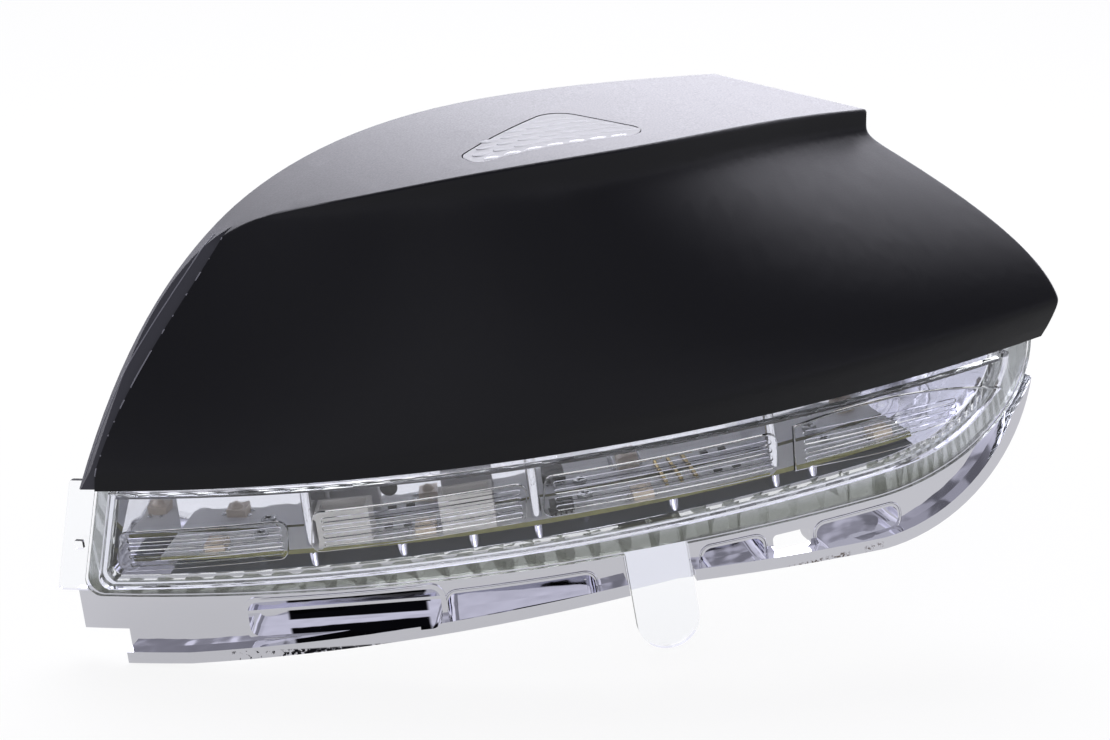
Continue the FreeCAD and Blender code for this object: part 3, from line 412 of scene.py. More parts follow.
@dataclass(frozen=True)
class GrainedCover(Finish):
    """Black polypropylene with an even grain, a few specks of dust, and a left rim painted greyer
    as painted sheen.
    """

    worn: str = "#0e0e12"
    worn_patch: float = 30.0
    # The real grain is about 0.1 mm, too fine to show, so it is drawn this coarse.
    grain: float = 0.45
    grain_depth: float = 0.025
    grain_share: float = 0.5
    grain_levels: Span = (0.3, 0.7)
    grain_shine: Span = (-0.04, 0.05)
    dust: str = "#6e6e76"
    dust_cell: float = 17.0
    # Radius of a speck, as a share of the cell that it lies in.
    dust_size: float = 0.016
    # Painted sheen: the rim band's lighter grey stands in for the brighter light that its slant
    # catches.
    rim: str = "#35353b"
    rim_band: RimBand = RimBand()
    rim_soft: float = 0.1
    rim_fade: float = 9.0
    rim_side: float = 50.0
    rim_side_fade: float = 2.0

    def rim_sheen_mask(self, tree: Tree, where: Socket) -> Socket:
        """Mask of the set-back band down the left rim, painted greyer as painted sheen, since its
        slant faces brighter light than the front face does.

        Args:
            tree: The material's tree.
            where: Object coordinates.

        Returns:
            The mask.
        """
        masks, rim = Masks(tree), self.rim_band
        slope = rim.slant / rim.height
        behind = add_node(tree, "ShaderNodeVectorMath",
                          {"operation": "DOT_PRODUCT", 1: (0, 1 / MM, slope / MM)}, {0: where})
        edge = rim.front - slope * rim.top
        split = add_node(tree, "ShaderNodeSeparateXYZ", {}, {"Vector": where})
        return masks.every(
            masks.rise(behind.outputs["Value"], edge - self.rim_soft, edge + self.rim_soft),
            masks.rise(split.outputs["Z"], -rim.top * MM, (-rim.top - self.rim_fade) * MM),
            masks.rise(split.outputs["X"], -self.rim_side * MM,
                       (-self.rim_side - self.rim_side_fade) * MM))

    def build(self) -> bpy.types.Material:
        """Make the grained black with its dust and its rim.

        Returns:
            The material.
        """
        material, tree, shader, where = self.start()
        cells = add_node(tree, "ShaderNodeTexVoronoi", {"Scale": per_mm(self.dust_cell)},
                         {"Vector": where})
        speck = add_node(tree, "ShaderNodeMath", {"operation": "LESS_THAN", 1: self.dust_size},
                         {0: cells.outputs["Distance"]})
        # The rim band gets a painted sheen; the specks are dust.
        tone = self.layers(tree, self.mottle(tree, where, self.worn, self.worn_patch),
                           (self.rim_sheen_mask(tree, where), self.rim), (speck.outputs[0], self.dust))
        tree.links.new(tone, shader.inputs["Base Color"])
        grain = add_node(tree, "ShaderNodeTexNoise", {"Scale": per_mm(self.grain), "Detail": 2.0},
                         {"Vector": where})
        (low, high), (smooth, rough) = self.grain_levels, self.grain_shine
        shine = add_node(tree, "ShaderNodeMapRange",
                         {"From Min": low, "From Max": high, "To Min": self.roughness + smooth,
                          "To Max": self.roughness + rough}, {"Value": grain.outputs["Fac"]})
        tree.links.new(shine.outputs[0], shader.inputs["Roughness"])
        self.relief(tree, shader, grain.outputs["Fac"], self.grain_depth, self.grain_share)
        return material


@dataclass(frozen=True)
class ClearMoulding(Finish):
    """Clear acrylic, faintly wavy where it shrank in the mould."""

    wave: float = 11.0
    wave_depth: float = 0.05
    wave_share: float = 0.3
    clarity: float = 1.0

    def build(self) -> bpy.types.Material:
        """Make the clear moulding with its slow waves.

        Returns:
            The material.
        """
        material, tree, shader, where = self.start()
        shader.inputs["Transmission Weight"].default_value = self.clarity
        waves = add_node(tree, "ShaderNodeTexNoise", {"Scale": per_mm(self.wave), "Detail": 1.0},
                         {"Vector": where})
        self.relief(tree, shader, waves.outputs["Fac"], self.wave_depth, self.wave_share)
        return material


@dataclass(frozen=True)
class PebbledMoulding(ClearMoulding):
    """Clear acrylic with rows of long pillows, which break the light into streaks."""

    pebble: float = 3.4
    pebble_depth: float = 0.25
    pebble_share: float = 0.8
    stretch: float = 0.35
    smoothness: float = 0.6
    randomness: float = 0.7

    def build(self) -> bpy.types.Material:
        """Make the clear moulding with its pebbles.

        Returns:
            The material.
        """
        material, tree, shader, where = self.start()
        shader.inputs["Transmission Weight"].default_value = self.clarity
        long = add_node(tree, "ShaderNodeMapping", {"Scale": (self.stretch, 1.0, 1.0)},
                        {"Vector": where})
        cells = add_node(tree, "ShaderNodeTexVoronoi",
                         {"feature": "SMOOTH_F1", "Scale": per_mm(self.pebble),
                          "Smoothness": self.smoothness, "Randomness": self.randomness},
                         {"Vector": long.outputs[0]})
        self.relief(tree, shader, cells.outputs["Distance"], self.pebble_depth, self.pebble_share)
        return material


@dataclass(frozen=True)
class WeldBead(Finish):
    """Milky melted plastic, greenish grey where it is thick under the lens's lower edge."""

    strip: Strip = Strip()
    pale: str = "#e2e5e2"
    pale_patch: float = 4.0
    thick: str = "#a3a79b"
    thick_drops: Span = (24.0, 29.0)
    clarity: float = 0.75

    def build(self) -> bpy.types.Material:
        """Make the milky bead, darker along its lower run.

        Returns:
            The material.
        """
        material, tree, shader, where = self.start()
        shader.inputs["Transmission Weight"].default_value = self.clarity
        lamp = self.strip.sockets(tree, where)
        low = Masks(tree).rise(lamp.drop, *self.thick_drops)
        colour = self.layers(tree, self.mottle(tree, where, self.pale, self.pale_patch),
                             (low, self.thick))
        tree.links.new(colour, shader.inputs["Base Color"])
        return material


@dataclass(frozen=True)
class PaintedReflectionBands:
    """Painted reflection: long dark stripes on the tilted floor of the first pocket, and one on
    the ledge under it, where the mirror film shows the dim room.
    """

    colour: str = "#0c0c0f"
    places: Span = (46.0, 82.0)
    end_soft: float = 0.5
    rows: tuple[Span, ...] = ((34.8, 36.0), (37.2, 42.0))
    row_soft: float = 0.12
    row_setbacks: Span = (7.4, 8.0)
    ledge: Span = (44.1, 45.8)
    ledge_soft: float = 0.1
    ledge_setbacks: Span = (3.2, 3.5)

    def mask(self, masks: Masks, lamp: LampSockets) -> Socket:
        """Mask of the painted reflection stripes.

        Args:
            masks: Masks in the material's tree.
            lamp: The lamp's own coordinates.

        Returns:
            The mask.
        """
        deep = masks.rise(lamp.setback, *self.row_setbacks)
        rows = [masks.every(masks.between(lamp.drop, *row, self.row_soft), deep)
                for row in self.rows]
        ledge = masks.every(masks.between(lamp.drop, *self.ledge, self.ledge_soft),
                            masks.rise(lamp.setback, *self.ledge_setbacks))
        return masks.every(masks.either(*rows, ledge),
                           masks.between(lamp.place, *self.places, self.end_soft))


@dataclass(frozen=True)
class Scuffs:
    """Rough dark scuffs on the lip's left part, which thin out towards both ends."""

    colour: str = "#1b1b20"
    places: Span = (30.0, 108.0)
    end_soft: float = 3.0
    thick_margins: Span = (16.0, 22.0)
    thick_soft: float = 12.0
    grit: float = 1.3
    # Noise level above which a spot shows, where the scuffs are thin and where they are thick.
    levels: Span = (0.62, 0.43)
    lip_setbacks: Span = (4.0, 3.6)
    lip_drops: Span = (45.3, 45.7)

    def mask(self, masks: Masks, lamp: LampSockets) -> Socket:
        """Mask of the scuffs.

        Args:
            masks: Masks in the material's tree.
            lamp: The lamp's own coordinates.

        Returns:
            The mask.
        """
        noise = add_node(masks.tree, "ShaderNodeTexNoise",
                         {"Scale": per_mm(self.grit), "Detail": 5.0, "Roughness": 0.7},
                         {"Vector": lamp.where})
        (begin, end), (left, right) = self.places, self.thick_margins
        thick = masks.between(lamp.place, begin + left, end - right, self.thick_soft)
        level = add_node(masks.tree, "ShaderNodeMapRange",
                         {"To Min": self.levels[0], "To Max": self.levels[1]}, {"Value": thick})
        return masks.every(masks.chain("GREATER_THAN", noise.outputs["Fac"], level.outputs[0]),
                           masks.rise(lamp.setback, *self.lip_setbacks),
                           masks.rise(lamp.drop, *self.lip_drops),
                           masks.between(lamp.place, *self.places, self.end_soft))


@dataclass(frozen=True)
class Specks:
    """Brown specks on the lip's right part."""

    colour: str = "#4c3a22"
    runs: tuple[Span, ...] = ((172.0, 188.5), (193.0, 197.5))
    run_soft: float = 0.8
    drops: Span = (42.2, 43.7)
    drop_soft: float = 0.3
    lip_setbacks: Span = (5.0, 4.5)
    grit: float = 0.6
    levels: Span = (0.46, 0.62)

    def mask(self, masks: Masks, lamp: LampSockets) -> Socket:
        """Mask of the specks.

        Args:
            masks: Masks in the material's tree.
            lamp: The lamp's own coordinates.

        Returns:
            The mask.
        """
        noise = add_node(masks.tree, "ShaderNodeTexNoise",
                         {"Scale": per_mm(self.grit), "Detail": 3.0}, {"Vector": lamp.where})
        runs = [masks.between(lamp.place, *run, self.run_soft) for run in self.runs]
        return masks.every(masks.rise(noise.outputs["Fac"], *self.levels), masks.either(*runs),
                           masks.between(lamp.drop, *self.drops, self.drop_soft),
                           masks.rise(lamp.setback, *self.lip_setbacks))


@dataclass(frozen=True)
class Metallised(Finish):
    """Bright mirror film with slow ripples, painted dark reflections in the first pocket, scuffs
    and brown specks.
    """

    strip: Strip = Strip()
    bands: PaintedReflectionBands = PaintedReflectionBands()
    scuffs: Scuffs = Scuffs()
    specks: Specks = Specks()
    worn_roughness: float = 0.55
    ripple: float = 13.0
    ripple_depth: float = 0.45
    ripple_share: float = 0.7

    def build(self) -> bpy.types.Material:
        """Make the bright film with its ripples, its painted dark reflections and its wear.

        Returns:
            The material.
        """
        material, tree, shader, where = self.start()
        masks, lamp = Masks(tree), self.strip.sockets(tree, where)
        worn, dirty = self.scuffs.mask(masks, lamp), self.specks.mask(masks, lamp)
        # The first pocket's dark stripes are a painted reflection of the dim room.
        colour = self.layers(tree, None, (self.bands.mask(masks, lamp), self.bands.colour),
                             (worn, self.scuffs.colour), (dirty, self.specks.colour))
        tree.links.new(colour, shader.inputs["Base Color"])
        for name, clean, marked, mask in (
                ("Roughness", self.roughness, self.worn_roughness, masks.either(worn, dirty)),
                ("Metallic", self.metallic, 0.0, dirty)):
            level = add_node(tree, "ShaderNodeMapRange", {"To Min": clean, "To Max": marked},
                             {"Value": mask})
            tree.links.new(level.outputs[0], shader.inputs[name])
        ripples = add_node(tree, "ShaderNodeTexNoise",
                           {"Scale": per_mm(self.ripple), "Detail": 2.0}, {"Vector": where})
        self.relief(tree, shader, ripples.outputs["Fac"], self.ripple_depth, self.ripple_share)
        return material


@dataclass(frozen=True)
class Laminate(Finish):
    """Circuit board, olive where it is cut, white above, and painted blue-grey below as painted
    shade.
    """

    cut_shade: str = "#7a7840"
    cut_patch: float = 3.0
    mask: str = "#f0f1ef"
    # Painted shade: the board's underside is painted blue-grey for the shade under it.
    under: str = "#74808c"
    # Upright share of the normal past which a face counts as the board's top or underside.
    level: Span = (0.69, 0.71)
    fibre: float = 0.4
    fibre_depth: float = 0.02

    def build(self) -> bpy.types.Material:
        """Make the laminate, told apart by which way a face points, with painted shade on its
        underside.

        Returns:
            The material.
        """
        material, tree, shader, where = self.start()
        masks = Masks(tree)
        facing = add_node(tree, "ShaderNodeNewGeometry").outputs["Normal"]
        upright = add_node(tree, "ShaderNodeSeparateXYZ", {}, {"Vector": facing}).outputs["Z"]
        start, end = self.level
        colour = self.layers(tree, self.mottle(tree, where, self.cut_shade, self.cut_patch),
                             (masks.rise(upright, start, end), self.mask),
                             (masks.rise(upright, -start, -end), self.under))
        tree.links.new(colour, shader.inputs["Base Color"])
        fibres = add_node(tree, "ShaderNodeTexNoise", {"Scale": per_mm(self.fibre), "Detail": 2.0},
                          {"Vector": where})
        self.relief(tree, shader, fibres.outputs["Fac"], self.fibre_depth)
        return material


@dataclass(frozen=True)
class Turned(Finish):
    """Bright metal with patches of duller metal and fine marks."""

    dull: str = "#8f8f8a"
    dull_patch: float = 1.5
    marks: float = 0.3
    marks_depth: float = 0.01

    def build(self) -> bpy.types.Material:
        """Make the metal with its fine marks.

        Returns:
            The material.
        """
        material, tree, shader, where = self.start()
        tree.links.new(self.mottle(tree, where, self.dull, self.dull_patch),
                       shader.inputs["Base Color"])
        marks = add_node(tree, "ShaderNodeTexNoise", {"Scale": per_mm(self.marks), "Detail": 3.0},
                         {"Vector": where})
        self.relief(tree, shader, marks.outputs["Fac"], self.marks_depth)
        return material


FINISHES: dict[Slot, Finish] = {
    # Polypropylene moulded in a spark eroded steel tool. The fine even grain spreads every
    # reflection, so the black has one broad soft sheen and no mirror image.
    Slot.COVER: GrainedCover("black_polypropylene", "#0a0b10", roughness=0.36, specular=0.24),
    # Acrylic moulded in a polished tool: clear as glass, with sharp thin reflections that bend
    # a little where the moulding shrank.
    Slot.LENS: ClearMoulding("clear_acrylic", "#fbfcfe", roughness=0.0, ior=1.49),
    # Acrylic and ABS rubbed together until they melted. Trapped air makes the bead milky, and
    # it turns greenish grey where it is thick.
    Slot.BEAD: WeldBead("vibration_weld_bead", "#f0f2f0", roughness=0.06),
    # ABS with a film of aluminium laid on in a vacuum: a cool bright mirror that follows each
    # ripple of the plastic below.
    Slot.CHROME: Metallised("vacuum_metallised_abs", "#ececf3", roughness=0.05, metallic=1.0),
    # Pressed glass cloth and epoxy with printed solder mask: olive and fibrous where it is
    # sawn, and an even white on top that throws light forward.
    Slot.BOARD: Laminate("glass_fibre_laminate", "#8f8d52", roughness=0.45),
    # Silicone filled with phosphor and poured into the package: a smooth, warm, pale face.
    Slot.LIGHT: Finish("phosphor_gel", "#e8d8c2", roughness=0.3),
    # Nylon moulded in a plain tool: an even, slightly warm white with a dull surface.
    Slot.WHITE: Finish("white_nylon", "#e6e3de", roughness=0.5),
    # Epoxy moulded round the chip in a matt tool: charcoal, with hardly any shine.
    Slot.CHIP: Finish("moulded_chip_epoxy", "#202022", roughness=0.6),
    # Cold formed steel, barrel plated with zinc: a grey metal, dulled in small patches.
    Slot.SCREW: Turned("zinc_plated_steel", "#b8bbbd", roughness=0.32, metallic=1.0),
    # ABS moulded in an untextured tool: a flat black with a soft shine.
    Slot.PLAIN: Finish("plain_black_abs", "#1c1c1f", roughness=0.45),
    # Brass stamped from strip and dipped in tin, which wears through: pale gold.
    Slot.PIN: Turned("tinned_brass", "#c9b173", roughness=0.28, metallic=1.0, dull="#a8935c"),
    # Rubber cap over a stretched membrane: dark, with no shine.
    Slot.VENT: Finish("vent_membrane", "#262628", roughness=0.85),
    # Acrylic whose tool was cut with rows of long pillows: a pale, streaky window.
    Slot.PUDDLE: PebbledMoulding("pebbled_acrylic", "#f8f8fc", roughness=0.0, ior=1.49,
                                 clarity=0.5),
    # Rubber foam cut from sheet: nearly black, with no shine.
    Slot.SEAL: Finish("foam_seal", "#151516", roughness=0.9),
    # The same acrylic where its pillows stand proud and gather the light, made half milky as a
    # painted highlight.
    Slot.FACET: ClearMoulding("acrylic_optics_painted_bright", "#f6f7fa", roughness=0.1, ior=1.49,
                              clarity=0.6),
    # Polypropylene on its thin raised lines, painted greyer than the grain beside it as a painted
    # highlight along the rim's edges.
    Slot.EDGE: Finish("polypropylene_painted_highlight", "#66666e", roughness=0.45),
    # Tin alloy that flowed and set: a bright, soft edged metal with a slightly grainy skin.
    Slot.SOLDER: Turned("tin_solder", "#c8cacc", roughness=0.25, metallic=1.0, dull="#a5a7a8"),
}


class Paints:
    """Builds each finish once and gives it out by slot."""

    def __init__(self) -> None:
        """Start with no material made."""
        self.made: dict[Slot, bpy.types.Material] = {}

    def of(self, slot: Slot) -> bpy.types.Material:
        """Give out the material of a slot, made on first use.

        Args:
            slot: The slot.

        Returns:
            Its material.
        """
        if slot not in self.made:
            self.made[slot] = FINISHES[slot].build()
        return self.made[slot]


@dataclass
class Smoother:
    """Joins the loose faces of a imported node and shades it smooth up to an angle."""

    angle: float
    join: float = 0.002

    def __post_init__(self) -> None:
        """Build the tree, with the angle and the joining distance as its inputs."""
        tree, source = new_tree("smooth_by_angle", {"Sharp over": "NodeSocketFloat",
                                                    "Join within": "NodeSocketFloat"})
        merge = add_node(tree, "GeometryNodeMergeByDistance", {},
                         {"Geometry": source.outputs["Geometry"],
                          "Distance": source.outputs["Join within"]})
        smooth = add_node(tree, "GeometryNodeSetShadeSmooth", {"Shade Smooth": True},
                          {"Geometry": merge.outputs[0]})
        bend = add_node(tree, "GeometryNodeInputMeshEdgeAngle")
        sharp = add_node(tree, "ShaderNodeMath", {"operation": "GREATER_THAN"},
                         {0: bend.outputs["Unsigned Angle"], 1: source.outputs["Sharp over"]})
        edges = add_node(tree, "GeometryNodeSetShadeSmooth",
                         {"domain": "EDGE", "Shade Smooth": False},
                         {"Geometry": smooth.outputs[0], "Selection": sharp.outputs[0]})
        add_node(tree, "NodeGroupOutput", {}, {0: edges.outputs[0]})
        self.tree = tree

    def apply(self, piece: Piece) -> None:
        """Smooth a piece, and keep its flats flat beside its fillets."""
        use_tree(piece, "smooth", self.tree,
                 {"Sharp over": math.radians(self.angle), "Join within": self.join * MM})
        piece.modifiers.new("flats", "WEIGHTED_NORMAL").keep_sharp = True


@dataclass
class NodeShape:
    """A piece made by Geometry Nodes from a few points, baked to a plain mesh."""

    paint: bpy.types.Material
    kept_as: Slot

    def start_tree(self, name: str, sizes: dict[str, str]) -> tuple[Tree, Node]:
        """Start a tree with named sizes and a paint."""
        return new_tree(name, {**sizes, "Paint": "NodeSocketMaterial"})

    def close_tree(self, tree: Tree, source: Node, shape: Socket) -> None:
        """End a tree with realised instances and the paint.

        Args:
            tree: The tree to end.
            source: Its group input.
            shape: The geometry made so far.
        """
        real = add_node(tree, "GeometryNodeRealizeInstances", {}, {0: shape})
        smooth = add_node(tree, "GeometryNodeSetShadeSmooth", {"Shade Smooth": True},
                          {"Geometry": real.outputs[0]})
        painted = add_node(tree, "GeometryNodeSetMaterial", {},
                           {"Geometry": smooth.outputs[0], "Material": source.outputs["Paint"]})
        add_node(tree, "NodeGroupOutput", {}, {0: painted.outputs[0]})

    def bake(self, name: str, tree: Tree, points: list[Vector], edges: list[tuple[int, int]],
             values: dict[str, object], turns: list[float] | None = None) -> Piece:
        """Run a tree on a few points and keep the result as a plain mesh that rides the root.

        Args:
            name: The piece's name.
            tree: The tree to run.
            points: Its points in metres.
            edges: Pairs of point numbers.
            values: Values by input name.
            turns: Angle of each point about the upright axis, where the tree reads it.

        Returns:
            The new piece.
        """
        mesh = bpy.data.meshes.new(name + "_points")
        mesh.from_pydata(points, edges, [])
        if turns:
            mesh.attributes.new("turn", "FLOAT", "POINT").data.foreach_set("value", turns)
        holder = bpy.data.objects.new(name + "_maker", mesh)
        bpy.context.scene.collection.objects.link(holder)
        use_tree(holder, "make", tree, {**values, "Paint": self.paint})
        bpy.context.view_layer.update()
        seen = holder.evaluated_get(bpy.context.evaluated_depsgraph_get())
        baked = bpy.data.meshes.new_from_object(seen)
        bpy.data.objects.remove(holder)
        piece = bpy.data.objects.new(name, baked)
        bpy.context.scene.collection.objects.link(piece)
        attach(piece, "root")
        return piece


@dataclass
class Beading(NodeShape):
    """Thin round beads along closed or open runs of points."""

    radius: float
    sides: int = 10

    def tree(self) -> Tree:
        """Make the tree that turns each run of edges into a round bead.

        Returns:
            The tree.
        """
        tree, source = self.start_tree("bead_along_edges", {"Radius": "NodeSocketFloat",
                                                            "Sides": "NodeSocketInt"})
        curve = add_node(tree, "GeometryNodeMeshToCurve", {}, {"Mesh": source.outputs["Geometry"]})
        ring = add_node(tree, "GeometryNodeCurvePrimitiveCircle", {},
                        {"Resolution": source.outputs["Sides"],
                         "Radius": source.outputs["Radius"]})
        tube = add_node(tree, "GeometryNodeCurveToMesh", {"Fill Caps": True},
                        {"Curve": curve.outputs[0], "Profile Curve": ring.outputs[0]})
        self.close_tree(tree, source, tube.outputs[0])
        return tree

    def make(self, name: str, runs: list[list[Vector]], closed: bool) -> Piece:
        """Make one piece from runs of points.

        Args:
            name: The piece's name.
            runs: Points of each run, in metres.
            closed: Whether each run closes on itself.

        Returns:
            The new piece.
        """
        points, edges = [], []
        for run in runs:
            first = len(points)
            points += run
            edges += [(first + at, first + at + 1) for at in range(len(run) - 1)]
            if closed:
                edges.append((len(points) - 1, first))
        return self.bake(name, self.tree(), points, edges,
                         {"Radius": self.radius * MM, "Sides": self.sides})


@dataclass
class Studs(NodeShape):
    """Copies of one flattened ball, each turned about the upright axis."""

    size: tuple[float, float, float]
    segments: int = 20
    rings: int = 12

    def tree(self) -> Tree:
        """Make the tree that sets a flattened ball on each point.

        Returns:
            The tree.
        """
        tree, source = self.start_tree("ball_on_points", {
            "Size": "NodeSocketVector", "Segments": "NodeSocketInt", "Rings": "NodeSocketInt"})
        # The ball is one unit across, so that its scale is the stud's size.
        ball = add_node(tree, "GeometryNodeMeshUVSphere", {"Radius": 0.5},
                        {"Segments": source.outputs["Segments"],
                         "Rings": source.outputs["Rings"]})
        turn = add_node(tree, "GeometryNodeInputNamedAttribute",
                        {"data_type": "FLOAT", "Name": "turn"})
        spin = add_node(tree, "ShaderNodeCombineXYZ", {}, {"Z": turn.outputs["Attribute"]})
        placed = add_node(tree, "GeometryNodeInstanceOnPoints", {},
                          {"Points": source.outputs["Geometry"], "Instance": ball.outputs["Mesh"],
                           "Rotation": spin.outputs[0], "Scale": source.outputs["Size"]})
        self.close_tree(tree, source, placed.outputs[0])
        return tree

    def make(self, name: str, points: list[Vector], turns: list[float]) -> Piece:
        """Make one piece of studs.

        Args:
            name: The piece's name.
            points: Middle of each stud, in metres.
            turns: Angle of each stud about the upright axis, in radians.

        Returns:
            The new piece.
        """
        values = {"Size": tuple(part * MM for part in self.size), "Segments": self.segments,
                  "Rings": self.rings}
        return self.bake(name, self.tree(), points, [], values, turns)


@dataclass
class LampAssembly:
    """A sub-assembly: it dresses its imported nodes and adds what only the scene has."""

    paints: Paints
    sharp_over: float = 40.0
    node_slots: ClassVar[dict[str, Slot]] = {}

    def dress(self) -> list[Piece]:
        """Give each node of the assembly its finish and smooth shading.

        Returns:
            The dressed nodes.
        """
        smoother = Smoother(self.sharp_over)
        dressed = [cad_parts[node] for node in self.node_slots]
        for piece, slot in zip(dressed, self.node_slots.values()):
            piece.data.materials.clear()
            piece.data.materials.append(self.paints.of(slot))
            smoother.apply(piece)
        return dressed

    def detail(self) -> list[Piece]:
        """Make the fine pieces that only the scene has."""
        return []


@dataclass
class MirrorCover(LampAssembly):
    """The black moulded cover and the screws that hold the lamp to it."""

    node_slots: ClassVar[dict[str, Slot]] = {
        "cover_shell": Slot.COVER,
        "lamp_screws": Slot.SCREW,
    }
    sharp_over: float = 22.0
    rim: RimBand = RimBand()
    line_depths: Span = (9.0, 65.0)
    line_points: int = 36
    line_offsets: Span = (0.0, 3.6)
    line_sink: float = 0.04
    line_radius: float = 0.17
    ray_start: float = -200.0

    def rim_line(self, cover: BVHTree, offset: float) -> list[Vector]:
        """Run down the left rim, behind the edge of the front face.

        Args:
            cover: The cover's faces.
            offset: Distance behind the face's edge.

        Returns:
            Points in metres.
        """
        first, last = self.line_depths
        run = []
        for index in range(self.line_points):
            depth = first + (last - first) * index / (self.line_points - 1)
            across = self.rim.across(depth) + offset
            start = Vector((self.ray_start * MM, across * MM, -depth * MM))
            hit = cover.ray_cast(start, Vector((1, 0, 0)))[0]
            if hit is not None:
                run.append(hit + Vector((self.line_sink * MM, 0, 0)))
        return run

    def detail(self) -> list[Piece]:
        """Make the two thin raised lines down the left rim, at the band's step and crease, painted
        light grey as painted highlights.

        Returns:
            The lines, as one piece.
        """
        cover = faces_of("cover_shell")
        # The lines' light grey finish is a painted highlight.
        beads = Beading(self.paints.of(Slot.EDGE), Slot.COVER, self.line_radius)
        runs = [self.rim_line(cover, offset) for offset in self.line_offsets]
        return [beads.make("rim_lines", runs, closed=False)]


@dataclass(frozen=True)
class Pocket:
    """A shallow pocket in the housing's skirt, with its drops taken at its left end."""

    start: float
    end: float
    top: float
    low: float
    # How much higher the right end sits.
    rise: float = 0.0


@dataclass
class LampStrip(LampAssembly):
    """Lens, weld bead, housing and what is fixed to the housing's back."""

    node_slots: ClassVar[dict[str, Slot]] = {
        "indicator_lens": Slot.LENS,
        "lens_weld_bead": Slot.BEAD,
        "reflector_housing": Slot.CHROME,
        "harness_socket": Slot.PLAIN,
        "terminal_pins": Slot.PIN,
        "breather_plug": Slot.VENT,
    }
    strip: Strip = Strip()
    skirt_setback: float = 6.6
    pockets: tuple[Pocket, ...] = (
        Pocket(38.0, 85.5, 34.2, 43.2, 0.4),
        Pocket(88.0, 124.0, 35.8, 42.2, 0.2),
        Pocket(152.0, 167.5, 34.6, 40.4),
        Pocket(182.0, 204.0, 35.2, 40.8),
    )
    bead_gap: float = 0.9
    bead_corner: float = 3.0
    bead_radius: float = 0.28
    corner_steps: int = 6
    side_step: float = 3.0

    def bead_run(self, pocket: Pocket) -> list[Vector]:
        """Rounded run round one pocket, on the skirt's face.

        Args:
            pocket: The pocket that the bead goes round.

        Returns:
            Points in metres.
        """
        gap, corner = self.bead_gap, self.bead_corner
        left, right = pocket.start - gap + corner, pocket.end + gap - corner
        top, low = pocket.top - gap + corner, pocket.low + gap - corner
        run = []
        for place, drop, begin in ((right, low - pocket.rise, 0), (left, low, 90),
                                   (left, top, 180), (right, top - pocket.rise, 270)):
            for part in range(self.corner_steps + 1):
                turn = math.radians(begin + 90 / self.corner_steps * part)
                run.append((place + corner * math.cos(turn), drop + corner * math.sin(turn)))
        points = []
        for (place, drop), (next_place, next_drop) in zip(run, run[1:] + run[:1]):
            parts = max(1, int(abs(next_place - place) / self.side_step))
            for part in range(parts):
                share = part / parts
                points.append(self.strip.point(place + (next_place - place) * share,
                                               self.skirt_setback,
                                               drop + (next_drop - drop) * share))
        return points

    def detail(self) -> list[Piece]:
        """Make the moulded beads round the pockets.

        Returns:
            The beads, as one piece.
        """
        beads = Beading(self.paints.of(Slot.CHROME), Slot.CHROME, self.bead_radius)
        runs = [self.bead_run(pocket) for pocket in self.pockets]
        return [beads.make("pocket_beads", runs, closed=True)]


@dataclass
class CircuitDeck(LampAssembly):
    """The curved board and what it carries."""

    node_slots: ClassVar[dict[str, Slot]] = {
        "circuit_board": Slot.BOARD,
        "signal_led_1": Slot.LIGHT,
        "signal_led_2": Slot.LIGHT,
        "signal_led_3": Slot.LIGHT,
        "side_led": Slot.LIGHT,
        "side_connector": Slot.WHITE,
        "board_connector": Slot.WHITE,
        "driver_chip": Slot.CHIP,
        "driver_resistors": Slot.CHIP,
        "board_screws": Slot.SCREW,
    }
    strip: Strip = Strip()
    board_drop: float = 19.8
    board_slope: float = 1.45
    led_places: tuple[float, ...] = (30.0, 84.0, 139.0, 203.0)
    led_setback: float = 12.5
    pad_reach: float = 3.4
    pad_rows: Span = (-1.4, 1.4)
    pad_size: tuple[float, float, float] = (1.5, 1.1, 0.6)
    pad_proud: float = 0.15

    def detail(self) -> list[Piece]:
        """Make the solder fillets at each light source.

        Returns:
            The fillets, as one piece.
        """
        slope = math.tan(math.radians(self.board_slope))
        points, turns = [], []
        for led in self.led_places:
            for place in (led - self.pad_reach, led + self.pad_reach):
                for row in self.pad_rows:
                    setback = self.led_setback + row
                    lift = slope * self.strip.point(place, setback, 0).x / MM
                    drop = self.board_drop - lift - self.pad_proud
                    points.append(self.strip.point(place, setback, drop))
                    turns.append(-self.strip.angle(led))
        studs = Studs(self.paints.of(Slot.SOLDER), Slot.PIN, self.pad_size)
        return [studs.make("led_solder", points, turns)]


